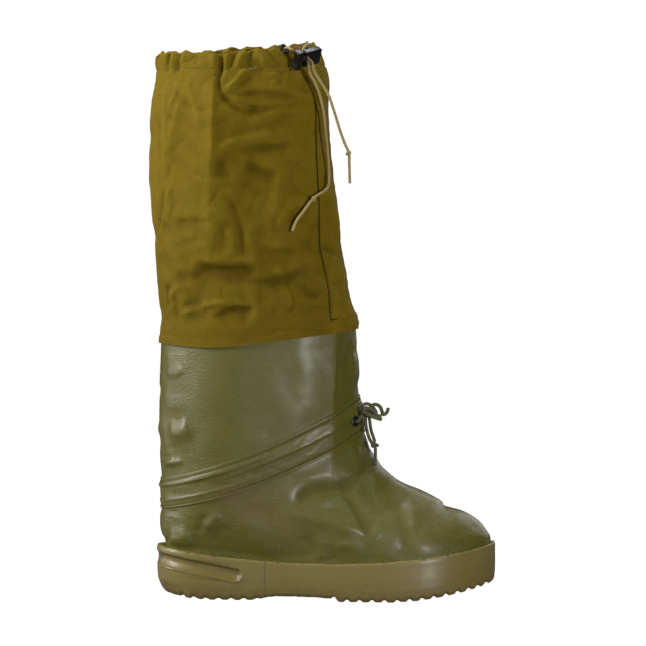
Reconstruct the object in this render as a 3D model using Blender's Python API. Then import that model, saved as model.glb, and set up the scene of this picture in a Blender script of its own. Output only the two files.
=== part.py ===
"""Tall rubber overshoe with a canvas gaiter, for a right foot.

Run with: blender --background --python part.py

A moulded rubber tub carries a rubberised-cloth upper. A canvas shaft is sewn
over the upper's top edge and gathered at the collar by an elastic drawcord,
which a sprung cord lock holds. A strip sewn round the ankle is the tunnel of
the instep lace.

Frame: X forward to the toe, +Y to the inner side of the foot, Z up, with the
origin on the ground in the middle of the boot. Tables are in millimetres.
"""

from collections import namedtuple
from math import cos, hypot, pi, radians, sin, sqrt

import bmesh
import bpy
from mathutils import Matrix, Vector

# --------------------------------------------------------------- dimensions

MM = 0.001
FIT = 0.3                   # gap between neighbouring pieces
HALF = 22                   # columns from the heel to the toe, per side
AROUND = 2 * HALF

CLOTH = 1.8                 # wall of the rubberised upper
CANVAS = 1.5                # wall of the shaft
INSOLE_THICK = 3.0

HEEL_X = -165.0             # back of the sole
TOE_X = 173.6               # tip of the sole
TOE_IN = 5.0                # the toe tip leans to the inner side
WAIST_IN = 3.0              # the waist leans to the outer side

GROOVE_DEEP = 3.4           # cable groove round the heel
GROOVE_END_X = -86.0

LUG_PITCH = 12.3            # from one groove of the tread to the next
TOE_PITCH = 9.3             # the same, round the toe
LUG_RUNS = ((-138.6, -62.0), (11.4, 168.0))     # heel tread, forefoot tread
LUG_GAP = 4.6
LUG_DEEP = 3.8

CORD_D = 2.8                # elastic drawcord
LACE_D = 3.0                # instep lace

LOCK_AT = Vector((-10.8, -46.0, 532.9))         # middle of the lock's body
LOCK_AXIS = Vector((-0.78, -0.55, -0.27))       # body towards plunger head
LOCK_UP = Vector((0.36, -0.50, 0.79))
LOCK_BODY = (20.0, 7.6, 17.0)                   # along axis, depth, height
LOCK_HEAD = (7.4, 8.6, 20.0)
LOCK_TRAVEL = 2.2
LOCK_SLOT_X = 6.4                               # cord slot, along the axis

# A ring is one closed section round the boot. It runs from its back point to
# its front point and sags between them. Half widths are at the heel, waist,
# ball and toe stations, and the two end lengths say how much of the ring is
# taken up by the rounding of its back and of its front.
Ring = namedtuple("Ring", "back_x back_z front_x front_z sag "
                          "heel waist ball toe back_len front_len last")
STATIONS = (0.0, 0.35, 0.70, 1.0)

UPPER = (
    #    back_x back_z front_x front_z sag  heel  waist ball  toe  b_len f_len last
    Ring(-154.5, 12.8, 167.0, 27.3,    0.0, 44.5, 40.5, 58.0, 49.0,  50,  76, 1.0),
    Ring(-156.0, 52.0, 169.0, 54.0,   16.0, 45.5, 42.5, 60.0, 50.0,  50,  76, 1.0),
    Ring(-156.6, 57.0, 168.6, 59.0,   15.8, 46.0, 43.5, 60.5, 49.5,  52,  76, 1.0),
    Ring(-159.0, 61.0, 164.5, 65.5,   15.5, 47.5, 45.0, 61.0, 49.0,  54,  76, 0.9),
    Ring(-161.0, 64.5, 157.0, 74.5,   15.0, 48.5, 46.5, 61.0, 48.5,  56,  76, 0.8),
    Ring(-162.0, 68.0, 142.0, 83.5,   14.5, 49.5, 48.0, 60.0, 47.5,  58,  74, 0.7),
    Ring(-162.4, 71.0, 129.5, 87.3,   14.0, 50.0, 49.0, 59.0, 46.5,  60,  72, 0.6),
    Ring(-162.0, 74.0, 122.5, 89.5,   13.5, 50.5, 50.0, 58.0, 46.0,  62,  72, 0.5),
    Ring(-162.0, 76.5, 118.5, 95.0,   13.0, 51.0, 51.0, 57.0, 45.0,  64,  72, 0.4),
    Ring(-162.0, 79.0,  99.0, 105.5,  12.5, 51.5, 52.0, 54.0, 42.5,  66,  70, 0.3),
    Ring(-162.0, 82.0,  75.0, 115.0,  12.0, 52.0, 53.0, 51.5, 40.0,  68,  68, 0.2),
    Ring(-161.0, 84.5,  56.0, 135.0,  11.5, 52.5, 54.0, 50.0, 37.0,  70,  68, 0.1),
    Ring(-160.3, 87.0,  42.7, 162.0,  11.0, 53.0, 55.0, 50.0, 35.0,  72,  70, 0.0),
    Ring(-160.3, 103.,  40.2, 181.0,  11.0, 54.0, 57.0, 52.0, 37.0,  76,  70, 0.0),
    Ring(-160.3, 120.,  36.6, 202.0,  11.0, 55.0, 59.0, 54.0, 39.0,  80,  68, 0.0),
    Ring(-162.2, 150.,  37.6, 220.0,  10.0, 56.0, 60.5, 56.0, 42.0,  84,  64, 0.0),
    Ring(-162.4, 198.,  36.2, 242.0,   8.0, 58.0, 62.0, 58.0, 45.0,  86,  60, 0.0),
    Ring(-161.0, 247.,  34.2, 262.0,   7.0, 59.0, 62.5, 59.0, 47.0,  88,  60, 0.0),
    Ring(-160.6, 264.,  34.2, 278.0,   6.5, 59.0, 62.5, 59.0, 47.0,  88,  60, 0.0),
)
BAND_ROWS = (12, 14)        # the ankle channel lies between these rings

# The shaft's two lowest sections lie on the upper at HEM_ROWS; these follow.
HEM_ROWS = (17.3, 18.0)
SHAFT = (
    #    back_x back_z front_x front_z sag  heel  waist ball  toe  b_len f_len last
    Ring(-160.2, 278.,  30.0, 291.0,   6.0, 61.6, 65.3, 60.6, 47.0,  88,  60, 0.0),
    Ring(-163.0, 295.,  26.5, 308.0,   5.0, 62.0, 65.5, 60.0, 46.0,  88,  60, 0.0),
    Ring(-166.0, 333.,  22.5, 342.0,   3.0, 62.5, 65.5, 60.0, 45.0,  88,  60, 0.0),
    Ring(-170.0, 374.,  18.0, 377.0,   2.0, 63.0, 65.5, 60.0, 45.0,  88,  62, 0.0),
    Ring(-172.0, 416.,  13.0, 415.0,   1.0, 63.0, 65.5, 60.0, 45.0,  88,  62, 0.0),
    Ring(-173.0, 452.,   8.5, 452.0,   0.0, 62.0, 64.5, 59.0, 45.0,  88,  62, 0.0),
    Ring(-171.0, 488.,   6.5, 488.0,   0.0, 59.0, 61.5, 57.0, 44.0,  86,  62, 0.0),
    Ring(-167.5, 508.,   7.5, 510.0,   0.0, 56.0, 58.5, 55.0, 43.0,  84,  60, 0.0),
    Ring(-164.8, 523.,   3.0, 528.0,   0.0, 53.5, 56.0, 52.5, 41.0,  82,  58, 0.0),
    Ring(-163.2, 535.,  -3.5, 543.5,   0.0, 52.0, 54.0, 50.5, 39.0,  80,  56, 0.0),
    Ring(-161.8, 542.,  -9.5, 552.0,   0.0, 51.0, 53.0, 49.5, 38.0,  80,  56, 0.0),
)
COLLAR_TILT = (0, 0, 0, 0, 0, 0, 0, 3.0, 6.5, 8.0, 8.5)
PLEAT_DEEP = (0, 0, 0, 0, 0, 0, 0, 1.0, 5.0, 10.0, 12.0)
PLEAT_X = -27.0             # pleat between the two collar eyelets
PLEAT_WIDE = 9.0

SOLE = Ring(HEEL_X, 0.0, TOE_X, 0.0, 0.0, 49.5, 46.5, 64.0, 54.0, 56, 80, 1.0)

# Heights along the sole.
Level = namedtuple("Level", "x ground floor")
LEVELS = (
    Level(-164.0,  5.5, 13.5),
    Level(-150.0,  3.6, 12.5),
    Level(-130.0,  1.2, 12.0),
    Level(-110.0,  0.0, 11.5),
    Level( -66.0,  0.0, 11.5),
    Level( -54.0,  3.6, 12.0),
    Level( -38.0,  4.8, 12.5),
    Level(  -8.0,  4.6, 12.5),
    Level(  10.0,  1.2, 11.5),
    Level(  20.0,  0.0, 11.0),
    Level(  72.0,  0.0, 11.0),
    Level(  95.0,  1.8, 12.0),
    Level( 120.0,  5.0, 15.5),
    Level( 150.0,  9.8, 22.0),
    Level( 173.0, 14.0, 27.0),
)

# Rows up the outside of the sole: share of the wall's height, inset of the
# whole wall, and inset round the heel only.
WallRow = namedtuple("WallRow", "share inset heel_inset")
WALL = (
    WallRow(0.00, 3.4, 8.0),
    WallRow(0.10, 1.0, 4.5),
    WallRow(0.28, 0.2, 1.0),
    WallRow(0.50, 0.0, 0.2),
    WallRow(0.57, 0.0, 0.6),
    WallRow(0.64, 0.0, GROOVE_DEEP),
    WallRow(0.74, 0.0, GROOVE_DEEP),
    WallRow(0.80, 0.0, 0.6),
    WallRow(0.88, 0.0, 0.0),
    WallRow(1.00, 0.8, 0.8),
)

# ------------------------------------------------------------ plain helpers


def lerp(a, b, k):
    return a + (b - a) * k


def smooth(k):
    """Ease from 0 to 1 as k runs from 0 to 1."""
    k = min(1.0, max(0.0, k))
    return k * k * (3.0 - 2.0 * k)


def through(stations, values, u):
    """Value at u of the cubic through four stations."""
    total = 0.0
    for i, at in enumerate(stations):
        part = values[i]
        for j, other in enumerate(stations):
            if j != i:
                part *= (u - other) / (at - other)
        total += part
    return total


def level(x, name):
    """Height of the ground line or of the floor at x, from LEVELS."""
    if x <= LEVELS[0].x:
        return getattr(LEVELS[0], name)
    for low, high in zip(LEVELS, LEVELS[1:]):
        if x <= high.x:
            k = (x - low.x) / (high.x - low.x)
            return lerp(getattr(low, name), getattr(high, name), k)
    return getattr(LEVELS[-1], name)


def rim_height(x):
    """Top edge of the sole's wall: high at heel and toe, low at the waist."""
    u = (x - HEEL_X) / (TOE_X - HEEL_X)
    return lerp(52.0, 54.0, u) - 16.0 * 4.0 * u * (1.0 - u)


# ------------------------------------------------------------ ring sections


def half_width(ring, u):
    """Half width of a ring at the share u of its length."""
    length = ring.front_x - ring.back_x
    widths = (ring.heel, ring.waist, ring.ball, ring.toe)
    width = through(STATIONS, widths, u)
    from_back = u * length / ring.back_len
    from_front = (1.0 - u) * length / ring.front_len
    for reach in (from_back, from_front):
        if reach < 1.0:
            width *= sqrt(max(0.0, 1.0 - (1.0 - reach) ** 2))
    return width


def column_shares(ring):
    """Shares u of the columns: even along the outline, closer at the ends."""
    length = ring.front_x - ring.back_x
    fine = 240
    path = []
    for i in range(fine + 1):
        u = 0.5 - 0.5 * cos(pi * i / fine)
        path.append((u, half_width(ring, u)))
    along = [0.0]
    for (u0, w0), (u1, w1) in zip(path, path[1:]):
        along.append(along[-1] + hypot((u1 - u0) * length, w1 - w0))
    shares = []
    step = 0
    for i in range(HALF + 1):
        even = i / HALF
        ends = 0.5 - 0.5 * cos(pi * even)
        target = along[-1] * lerp(even, ends, 0.45)
        while step < fine - 1 and along[step + 1] < target:
            step += 1
        k = (target - along[step]) / (along[step + 1] - along[step])
        shares.append(lerp(path[step][0], path[step + 1][0], min(1.0, k)))
    shares[0] = 0.0
    shares[-1] = 1.0
    return shares


def lean(u):
    """Centre line of the foot: out at the waist, in at the toe."""
    return TOE_IN * smooth((u - 0.55) / 0.45) - WAIST_IN * sin(pi * u) ** 2


def ring_points(ring):
    """Points of a ring from the heel, along the outer side, to the toe and
    back along the inner side."""
    length = ring.front_x - ring.back_x
    shares = column_shares(ring)
    points = []
    for i in range(AROUND):
        side = -1.0 if i <= HALF else 1.0
        u = shares[i] if i <= HALF else shares[AROUND - i]
        x = ring.back_x + u * length
        y = side * half_width(ring, u) + lean(u) * ring.last
        z = lerp(ring.back_z, ring.front_z, u) - ring.sag * 4.0 * u * (1.0 - u)
        points.append(Vector((x, y, z)))
    return points


def upper_rings():
    rings = [ring_points(ring) for ring in UPPER]
    for point in rings[0]:
        point.z = level(point.x, "floor") + FIT
    for point in rings[1]:
        point.z = rim_height(point.x)
    return rings


def shaft_rings(upper):
    """Shaft sections: the hem over the upper's top edge, then the free cloth
    with the collar's slope and the pleat at its lock."""
    rings = []
    for row in HEM_ROWS:
        hem = []
        for column in range(AROUND):
            point, normal = on_rings(upper, column, row)
            hem.append(point + normal * (FIT + 0.1 + CANVAS))
        rings.append(hem)
    for ring, tilt, deep in zip(SHAFT, COLLAR_TILT, PLEAT_DEEP):
        points = ring_points(ring)
        for i, point in enumerate(points):
            point.z += tilt * (point.y / ring.waist) ** 3
            if deep and 0 < i < HALF:
                away = (point.x - PLEAT_X) / PLEAT_WIDE
                point.y += deep * 2.718 ** (-away * away)
        rings.append(points)
    return rings


def sideways(points, i):
    """Outward direction of a ring at column i, level with the ground."""
    before = points[i - 1]
    after = points[(i + 1) % len(points)]
    along = after - before
    return Vector((-along.y, along.x, 0.0)).normalized() * -1.0


def grown(points, by):
    """A ring moved outwards by a distance, or by a function of the point."""
    moved = []
    for i, point in enumerate(points):
        reach = by(point) if callable(by) else by
        moved.append(point + sideways(points, i) * reach)
    return moved


def on_rings(rings, column, row):
    """Point and outward normal of a faceted skin at fractions of its grid."""
    def at(c, r):
        c0 = int(c) % AROUND
        c1 = (c0 + 1) % AROUND
        r0 = min(int(r), len(rings) - 2)
        low = rings[r0][c0].lerp(rings[r0][c1], c - int(c))
        high = rings[r0 + 1][c0].lerp(rings[r0 + 1][c1], c - int(c))
        return low.lerp(high, r - r0)

    point = at(column, row)
    along = at(column + 0.5, row) - at(column - 0.5, row)
    up = at(column, min(row + 0.3, len(rings) - 1)) - at(column, max(row - 0.3, 0))
    return point, along.cross(up).normalized()


# --------------------------------------------------------- objects and skins


def clear_scene():
    for thing in list(bpy.data.objects):
        bpy.data.objects.remove(thing, do_unlink=True)


def material(name, colour, roughness, metallic=0.0):
    made = bpy.data.materials.new(name)
    made.use_nodes = True
    shader = made.node_tree.nodes["Principled BSDF"]
    shader.inputs["Base Color"].default_value = (*colour, 1.0)
    shader.inputs["Roughness"].default_value = roughness
    shader.inputs["Metallic"].default_value = metallic
    return made


def add_object(name, bm, mat, sharp=40.0):
    """Finish a bmesh, given in millimetres, as a named object in metres."""
    bmesh.ops.scale(bm, vec=(MM, MM, MM), verts=bm.verts)
    bmesh.ops.recalc_face_normals(bm, faces=bm.faces)
    mesh = bpy.data.meshes.new(name)
    bm.to_mesh(mesh)
    bm.free()
    mesh.shade_smooth()
    mesh.set_sharp_from_angle(angle=radians(sharp))
    if mat:
        mesh.materials.append(mat)
    made = bpy.data.objects.new(name, mesh)
    bpy.context.scene.collection.objects.link(made)
    return made


def hide_cutter(cutter):
    cutter.hide_render = True
    cutter.display_type = "WIRE"
    return cutter


def cut(target, cutter, operation="DIFFERENCE"):
    modifier = target.modifiers.new("Cut", "BOOLEAN")
    modifier.operation = operation
    modifier.solver = "EXACT"
    modifier.object = cutter


def loft(rings):
    """Skin through rings, each extruded from the one before it."""
    bm = bmesh.new()
    first = bmesh.ops.create_circle(bm, segments=AROUND, radius=1.0)
    row = first["verts"]
    for vert, point in zip(row, rings[0]):
        vert.co = point
    for ring in rings[1:]:
        edges = [bm.edges.get((row[i - 1], row[i])) for i in range(AROUND)]
        grown_edges = bmesh.ops.extrude_edge_only(bm, edges=edges)
        fresh = [v for v in grown_edges["geom"] if isinstance(v, bmesh.types.BMVert)]
        above = {}
        for vert in fresh:
            above[tuple(round(c, 6) for c in vert.co)] = vert
        row = [above[tuple(round(c, 6) for c in vert.co)] for vert in row]
        for vert, point in zip(row, ring):
            vert.co = point
    return bm


def wall(made, thickness):
    """Give a skin its wall on the inner side."""
    modifier = made.modifiers.new("Wall", "SOLIDIFY")
    modifier.thickness = thickness * MM
    modifier.offset = -1.0
    modifier.use_even_offset = True
    return modifier


def floor_faces(bm, row):
    """Close a ring with strips that run straight across the boot."""
    for i in range(HALF):
        corners = (row[i], row[i + 1], row[-i - 1], row[-i % AROUND])
        unique = list(dict.fromkeys(corners))
        bm.faces.new(unique)


def ring_of(bm, points):
    """Verts of a skin that lie on the given ring, in its order."""
    found = []
    for point in points:
        found.append(min(bm.verts, key=lambda vert: (vert.co - point).length_squared))
    return found


# ------------------------------------------------------------------ outsole


def heel_share(x):
    """1 round the back of the heel, 0 forward of the cable groove."""
    return 1.0 - smooth((x - GROOVE_END_X + 10.0) / 10.0)


def sole_rings(upper):
    """Rings of the tub: up the outside, over the rim and down the inside."""
    base = ring_points(SOLE)
    rings = []
    for row in WALL:
        def reach(point, row=row):
            end = smooth((-128.0 - point.x) / 24.0) if row.share < 0.4 else 1.0
            return -lerp(row.inset, row.heel_inset, heel_share(point.x) * end)

        ring = grown(base, reach)
        for point, outline in zip(ring, base):
            low = level(outline.x, "ground")
            point.z = lerp(low, rim_height(outline.x), row.share)
        rings.append(ring)
    inner_rim = grown(upper[1], FIT + 0.1)
    inner_floor = grown(upper[0], FIT + 0.1)
    for point in inner_floor:
        point.z = level(point.x, "floor")
    rings.append(inner_rim)
    rings.append(inner_floor)
    return rings


def lug_cutters():
    """Rounded grooves across the tread, between one lug and the next."""
    bm = bmesh.new()
    for start, end in LUG_RUNS:
        x = start
        while x < end:
            made = bmesh.ops.create_cone(
                bm, cap_ends=True, segments=8, radius1=1.0, radius2=1.0, depth=190.0)
            turn = Matrix.Rotation(radians(90.0), 4, "X") @ Matrix.Rotation(radians(22.5), 4, "Z")
            bmesh.ops.transform(bm, matrix=turn, verts=made["verts"])
            size = (LUG_GAP / 1.85, 1.0, LUG_DEEP * 1.08)
            bmesh.ops.scale(bm, vec=size, verts=made["verts"])
            bmesh.ops.translate(bm, vec=(x, 0.0, level(x, "ground")), verts=made["verts"])
            x += lerp(LUG_PITCH, TOE_PITCH, smooth((x - 125.0) / 30.0))
    return hide_cutter(add_object("lug_grooves", bm, None))


def make_outsole(upper, mat):
    rings = sole_rings(upper)
    bm = loft(rings)
    floor_faces(bm, ring_of(bm, rings[0]))
    floor_faces(bm, ring_of(bm, rings[-1]))
    outsole = add_object("outsole", bm, mat)
    cut(outsole, lug_cutters())
    return outsole


def make_insole(upper, mat):
    outline = grown(upper[0], -(CLOTH + 0.6))
    rings = []
    for rise in (FIT, FIT + INSOLE_THICK):
        ring = [point.copy() for point in outline]
        for point in ring:
            point.z = level(point.x, "floor") + rise
        rings.append(ring)
    bm = loft(rings)
    floor_faces(bm, ring_of(bm, rings[0]))
    floor_faces(bm, ring_of(bm, rings[-1]))
    return add_object("insole", bm, mat)


# ----------------------------------------------------------- upper and shaft


def make_upper(upper, mat):
    made = add_object("upper", loft(upper), mat, sharp=60.0)
    wall(made, CLOTH)
    return made


def make_shaft(shaft, mat):
    made = add_object("shaft", loft(shaft), mat, sharp=60.0)
    wall(made, CANVAS)
    return made


# Section of the ankle channel: share of the way up, and distance off the upper.
BandEdge = namedtuple("BandEdge", "rise off")
BAND = (
    BandEdge(0.03, FIT + 0.1),
    BandEdge(0.50, FIT + 0.1),
    BandEdge(0.97, FIT + 0.1),
    BandEdge(0.97, FIT + 1.0),
    BandEdge(0.75, FIT + 1.8),
    BandEdge(0.50, FIT + 2.3),
    BandEdge(0.25, FIT + 1.8),
    BandEdge(0.03, FIT + 1.0),
)


def band_rings(upper):
    rings = []
    low, high = BAND_ROWS
    for edge in BAND:
        row = lerp(low, high, edge.rise)
        ring = []
        for column in range(AROUND):
            point, normal = on_rings(upper, column, row)
            ring.append(point + normal * edge.off)
        rings.append(ring)
    return rings


def make_band(upper, mat):
    rings = band_rings(upper)
    bm = loft(rings + [rings[0]])
    bmesh.ops.remove_doubles(bm, verts=bm.verts, dist=0.001)
    return add_object("ankle_channel", bm, mat, sharp=60.0)


# ------------------------------------------------------------------ eyelets

# Turned section of an eyelet: radius, and height above the cloth it sits on.
EYELET = ((2.3, -1.7), (2.9, -1.7), (2.9, FIT), (5.5, FIT), (5.0, 1.2), (3.3, 1.4))
EYELET_HOLE = 3.2
EYELET_SIDES = 16

# Seats: piece, ring row, X of the centre, side of the boot, and height of the
# seat over the cloth's mean surface.
Seat = namedtuple("Seat", "name cloth row x side lift")
SEATS = (
    Seat("eyelet_instep_outer", "ankle_channel", 12.95, 31.0, -1, FIT + 2.3),
    Seat("eyelet_instep_inner", "ankle_channel", 12.95, 31.0, 1, FIT + 2.3),
    Seat("eyelet_collar_back", "shaft", 11.35, -36.0, -1, 0.6),
    Seat("eyelet_collar_front", "shaft", 11.3, -14.0, -1, 0.6),
)


def turned(name, profile, steps, mat, place):
    """Solid of revolution about Z from a closed profile of radius and height."""
    bm = bmesh.new()
    verts = [bm.verts.new((radius, 0.0, height)) for radius, height in profile]
    edges = [bm.edges.new((verts[i - 1], verts[i])) for i in range(len(verts))]
    bmesh.ops.spin(
        bm, geom=verts + edges, axis=(0.0, 0.0, 1.0), cent=(0.0, 0.0, 0.0),
        angle=2.0 * pi, steps=steps, use_merge=True)
    made = add_object(name, bm, mat, sharp=50.0)
    made.matrix_world = place
    return made


def facing(point, normal):
    """Matrix, in metres, that stands local Z on a surface."""
    turn = normal.to_track_quat("Z", "Y").to_matrix().to_4x4()
    return Matrix.Translation(point * MM) @ turn


def column_at(ring, x, side):
    """Fraction of a column where one side of a ring passes x."""
    order = range(HALF) if side < 0 else range(AROUND, HALF, -1)
    step = 1 if side < 0 else -1
    for i in order:
        here = ring[i % AROUND].x
        there = ring[(i + step) % AROUND].x
        if here <= x <= there:
            return i + step * (x - here) / (there - here)
    raise ValueError("the ring does not reach that far")


def seat_frame(seat, upper, shaft):
    """Centre and outward direction of an eyelet, on its cloth."""
    rings = shaft if seat.cloth == "shaft" else upper
    column = column_at(rings[round(seat.row)], seat.x, seat.side)
    point, normal = on_rings(rings, column, seat.row)
    return point + normal * seat.lift, normal


def make_eyelets(frames, mat):
    for seat in SEATS:
        point, normal = frames[seat.name]
        place = facing(point, normal)
        turned(seat.name, EYELET, EYELET_SIDES, mat, place)
        bm = bmesh.new()
        bmesh.ops.create_cone(
            bm, cap_ends=True, segments=EYELET_SIDES,
            radius1=EYELET_HOLE, radius2=EYELET_HOLE, depth=7.0)
        cutter = hide_cutter(add_object(seat.name + "_hole", bm, None))
        cutter.matrix_world = place
        cut(bpy.data.objects[seat.cloth], cutter)


# ---------------------------------------------------------------- cord lock


def lock_matrix():
    """Lock frame in metres: X along the axis, Y out of the front, Z up."""
    along = LOCK_AXIS.normalized()
    up = (LOCK_UP - along * LOCK_UP.dot(along)).normalized()
    front = up.cross(along)
    turn = Matrix((along, front, up)).transposed().to_4x4()
    return Matrix.Translation(LOCK_AT * MM) @ turn


def box(bm, size, centre):
    made = bmesh.ops.create_cube(bm, size=1.0)
    bmesh.ops.scale(bm, vec=size, verts=made["verts"])
    bmesh.ops.translate(bm, vec=centre, verts=made["verts"])
    return made["verts"]


def bevelled_box(name, size, centre, width, mat):
    bm = bmesh.new()
    box(bm, size, centre)
    bmesh.ops.bevel(
        bm, geom=bm.edges[:], offset=width, offset_type="OFFSET", segments=1,
        affect="EDGES", profile=0.5, material=-1)
    return add_object(name, bm, mat, sharp=20.0)


def box_cutter(name, size, centre):
    bm = bmesh.new()
    box(bm, size, centre)
    return hide_cutter(add_object(name, bm, None))


def make_lock(mat):
    """Body with its bore and cord slot, and the plunger that slides in it."""
    place = lock_matrix()
    long_body, deep, tall = LOCK_BODY
    long_head, deep_head, tall_head = LOCK_HEAD
    mouth = long_body / 2.0
    body = bevelled_box("lock_body", LOCK_BODY, (0, 0, 0), 1.0, mat)
    bore = box_cutter("lock_bore", (16.0, 4.4, 10.6), (mouth - 8.0 + 0.01, 0, 0))
    slot = box_cutter("lock_slot", (3.8, 20.0, 8.0), (LOCK_SLOT_X, 0, 0))
    cut(body, bore)
    cut(body, slot)

    head_x = mouth + LOCK_TRAVEL + FIT
    plunger = bevelled_box(
        "lock_plunger", LOCK_HEAD, (head_x + long_head / 2.0, 0, 0), 0.8, mat)
    shank_back = -1.5
    shank = box_cutter(
        "plunger_shank", (head_x + 1.0 - shank_back, 3.8, 10.0),
        ((head_x + 1.0 + shank_back) / 2.0, 0, 0))
    cut(plunger, shank, "UNION")
    run = 3.8 + LOCK_TRAVEL
    window = box_cutter(
        "plunger_window", (run, 20.0, 8.0), (LOCK_SLOT_X + LOCK_TRAVEL / 2.0, 0, 0))
    cut(plunger, window)
    bm = bmesh.new()
    bmesh.ops.create_cone(
        bm, cap_ends=True, segments=32, radius1=26.0, radius2=26.0, depth=20.0)
    turn = Matrix.Rotation(radians(90.0), 4, "X")
    bmesh.ops.transform(bm, matrix=turn, verts=bm.verts)
    thumb = hide_cutter(add_object("thumb_hollow", bm, None))
    thumb_at = Matrix.Translation(Vector((head_x + long_head + 26.0 - 1.7, 0, 0)) * MM)
    cut(plunger, thumb)
    for piece in (body, bore, slot, plunger, shank, window):
        piece.matrix_world = place
    thumb.matrix_world = place @ thumb_at


# ------------------------------------------------------------ cords and lace


def smooth_route(route, spacing, close_until, close):
    """Points at a spacing along a smooth curve through the route. Up to a
    given length the points lie closer together."""
    ends = [route[0] * 2.0 - route[1]] + list(route) + [route[-1] * 2.0 - route[-2]]
    fine = []
    for before, start, end, after in zip(ends, ends[1:], ends[2:], ends[3:]):
        for i in range(16):
            k = i / 16.0
            fine.append(0.5 * (
                start * 2.0 + (end - before) * k
                + (before * 2.0 - start * 5.0 + end * 4.0 - after) * k ** 2
                + (start * 3.0 - before - end * 3.0 + after) * k ** 3))
    fine.append(route[-1].copy())
    along = [0.0]
    for a, b in zip(fine, fine[1:]):
        along.append(along[-1] + (b - a).length)
    close_count = round(close_until / close)
    count = max(2, round((along[-1] - close_until) / spacing))
    targets = [close_until * i / close_count for i in range(close_count)]
    targets += [lerp(close_until, along[-1], i / count) for i in range(count + 1)]
    points = []
    step = 0
    for target in targets:
        while step < len(fine) - 2 and along[step + 1] < target:
            step += 1
        span = along[step + 1] - along[step]
        points.append(fine[step].lerp(fine[step + 1], (target - along[step]) / span))
    return points


def tube(name, route, diameter, mat, spacing, close_until=0.0, close=3.0):
    """Round cord along a route, as a curve with filled ends."""
    route = [Vector(point) for point in route]
    points = smooth_route(route, spacing, close_until, close)
    curve = bpy.data.curves.new(name, "CURVE")
    curve.dimensions = "3D"
    curve.bevel_depth = diameter / 2.0 * MM
    curve.bevel_resolution = 2
    curve.use_fill_caps = True
    spline = curve.splines.new("POLY")
    spline.points.add(len(points) - 1)
    for item, point in zip(spline.points, points):
        item.co = (*(point * MM), 1.0)
    curve.materials.append(mat)
    made = bpy.data.objects.new(name, curve)
    bpy.context.scene.collection.objects.link(made)
    return points


def nearest_tangent(points, at):
    i = min(range(1, len(points) - 1), key=lambda n: (points[n] - at).length)
    return points[i], (points[i + 1] - points[i - 1]).normalized()


def knot_on(name, points, at, cord_d, size, length, mat):
    """Knot as a turned bead that the cord runs through."""
    centre, along = nearest_tangent(points, Vector(at))
    hole = cord_d / 2.0 + 0.6
    half = length / 2.0
    profile = (
        (hole, -half), (size * 0.75, -half), (size, -half * 0.35),
        (size, half * 0.35), (size * 0.75, half), (hole, half))
    turned(name, profile, 10, mat, facing(centre, along))


def blob(name, centre, size, along, mat):
    """Knot as a plain rounded lump."""
    bm = bmesh.new()
    bmesh.ops.create_uvsphere(bm, u_segments=10, v_segments=6, radius=1.0)
    bmesh.ops.scale(bm, vec=size, verts=bm.verts)
    made = add_object(name, bm, mat, sharp=80.0)
    made.matrix_world = facing(centre, along)


def lock_point(x, y, z):
    return (lock_matrix() @ (Vector((x, y, z)) * MM)) / MM


def off_cloth(frame, distance):
    point, normal = frame
    return point + normal * distance


# Routes in the lock's own frame, behind it, then in the boot's frame.
BEHIND_FRONT = ((-9.6, -17.6, 0.6), (-3.4, -14.2, 3.2), (2.0, -10.6, 3.2), (4.6, -7.4, 2.1))
BEHIND_BACK = ((12.6, -15.6, 1.2), (8.6, -11.6, -0.8), (5.7, -7.8, -1.7))
DRAWCORD_FRONT = (
    (-9.4, -54.4, 525.6), (-7.2, -53.4, 517.4), (-2.0, -50.5, 508.9), (5.9, -47.5, 496.1),
    (11.8, -44.0, 479.8), (17.4, -41.0, 461.9), (22.2, -38.5, 448.9),
    (26.3, -37.0, 439.1), (26.9, -36.0, 427.4), (27.4, -35.5, 409.7),
)
DRAWCORD_FRONT_KNOT = (26.3, -37.0, 439.1)
DRAWCORD_BACK = (
    (-13.0, -51.4, 522.0), (-11.5, -50.0, 515.3), (-6.3, -47.0, 506.4), (-2.2, -43.0, 495.0),
    (0.7, -39.5, 483.4), (2.5, -36.5, 471.6), (4.9, -33.0, 447.3),
    (6.4, -31.5, 431.2), (6.9, -31.5, 414.9), (5.9, -33.5, 406.9),
    (2.0, -38.5, 401.7), (-8.3, -51.0, 393.7), (-18.5, -58.5, 380.0),
    (-24.8, -62.0, 371.1), (-28.7, -64.5, 361.3),
)
DRAWCORD_BACK_KNOT = (-8.3, -51.0, 393.7)


def make_drawcord(frames, mat):
    """Two ends of the elastic, from the collar eyelets through the lock."""
    runs = {}
    for name, eyelet, behind, lane, tail in (
            ("drawcord_front", "eyelet_collar_front", BEHIND_FRONT, 1.75, DRAWCORD_FRONT),
            ("drawcord_back", "eyelet_collar_back", BEHIND_BACK, -1.75, DRAWCORD_BACK)):
        route = [off_cloth(frames[eyelet], -1.0), off_cloth(frames[eyelet], 4.0)]
        route.extend(lock_point(*point) for point in behind)
        for through_lock in (-4.5, 0.0, 5.0):
            route.append(lock_point(LOCK_SLOT_X, through_lock, lane))
        route.extend(tail)
        runs[name] = tube(name, route, CORD_D, mat, 6.5, 42.0, 2.8)
    knot_on("knot_front", runs["drawcord_front"], DRAWCORD_FRONT_KNOT,
            CORD_D, 3.5, 5.6, mat)
    knot_on("knot_back", runs["drawcord_back"], DRAWCORD_BACK_KNOT,
            CORD_D, 3.5, 5.6, mat)


LACE_KNOT_ROW = 13.15
LACE_KNOT_X = 36.0
LACE_KNOT_OFF = 10.2        # centre of the bow knot, off the upper
LACE_KNOT_SIZE = (4.4, 5.8, 3.8)
END_KNOT_SIZE = (3.3, 3.6, 3.7)
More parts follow.
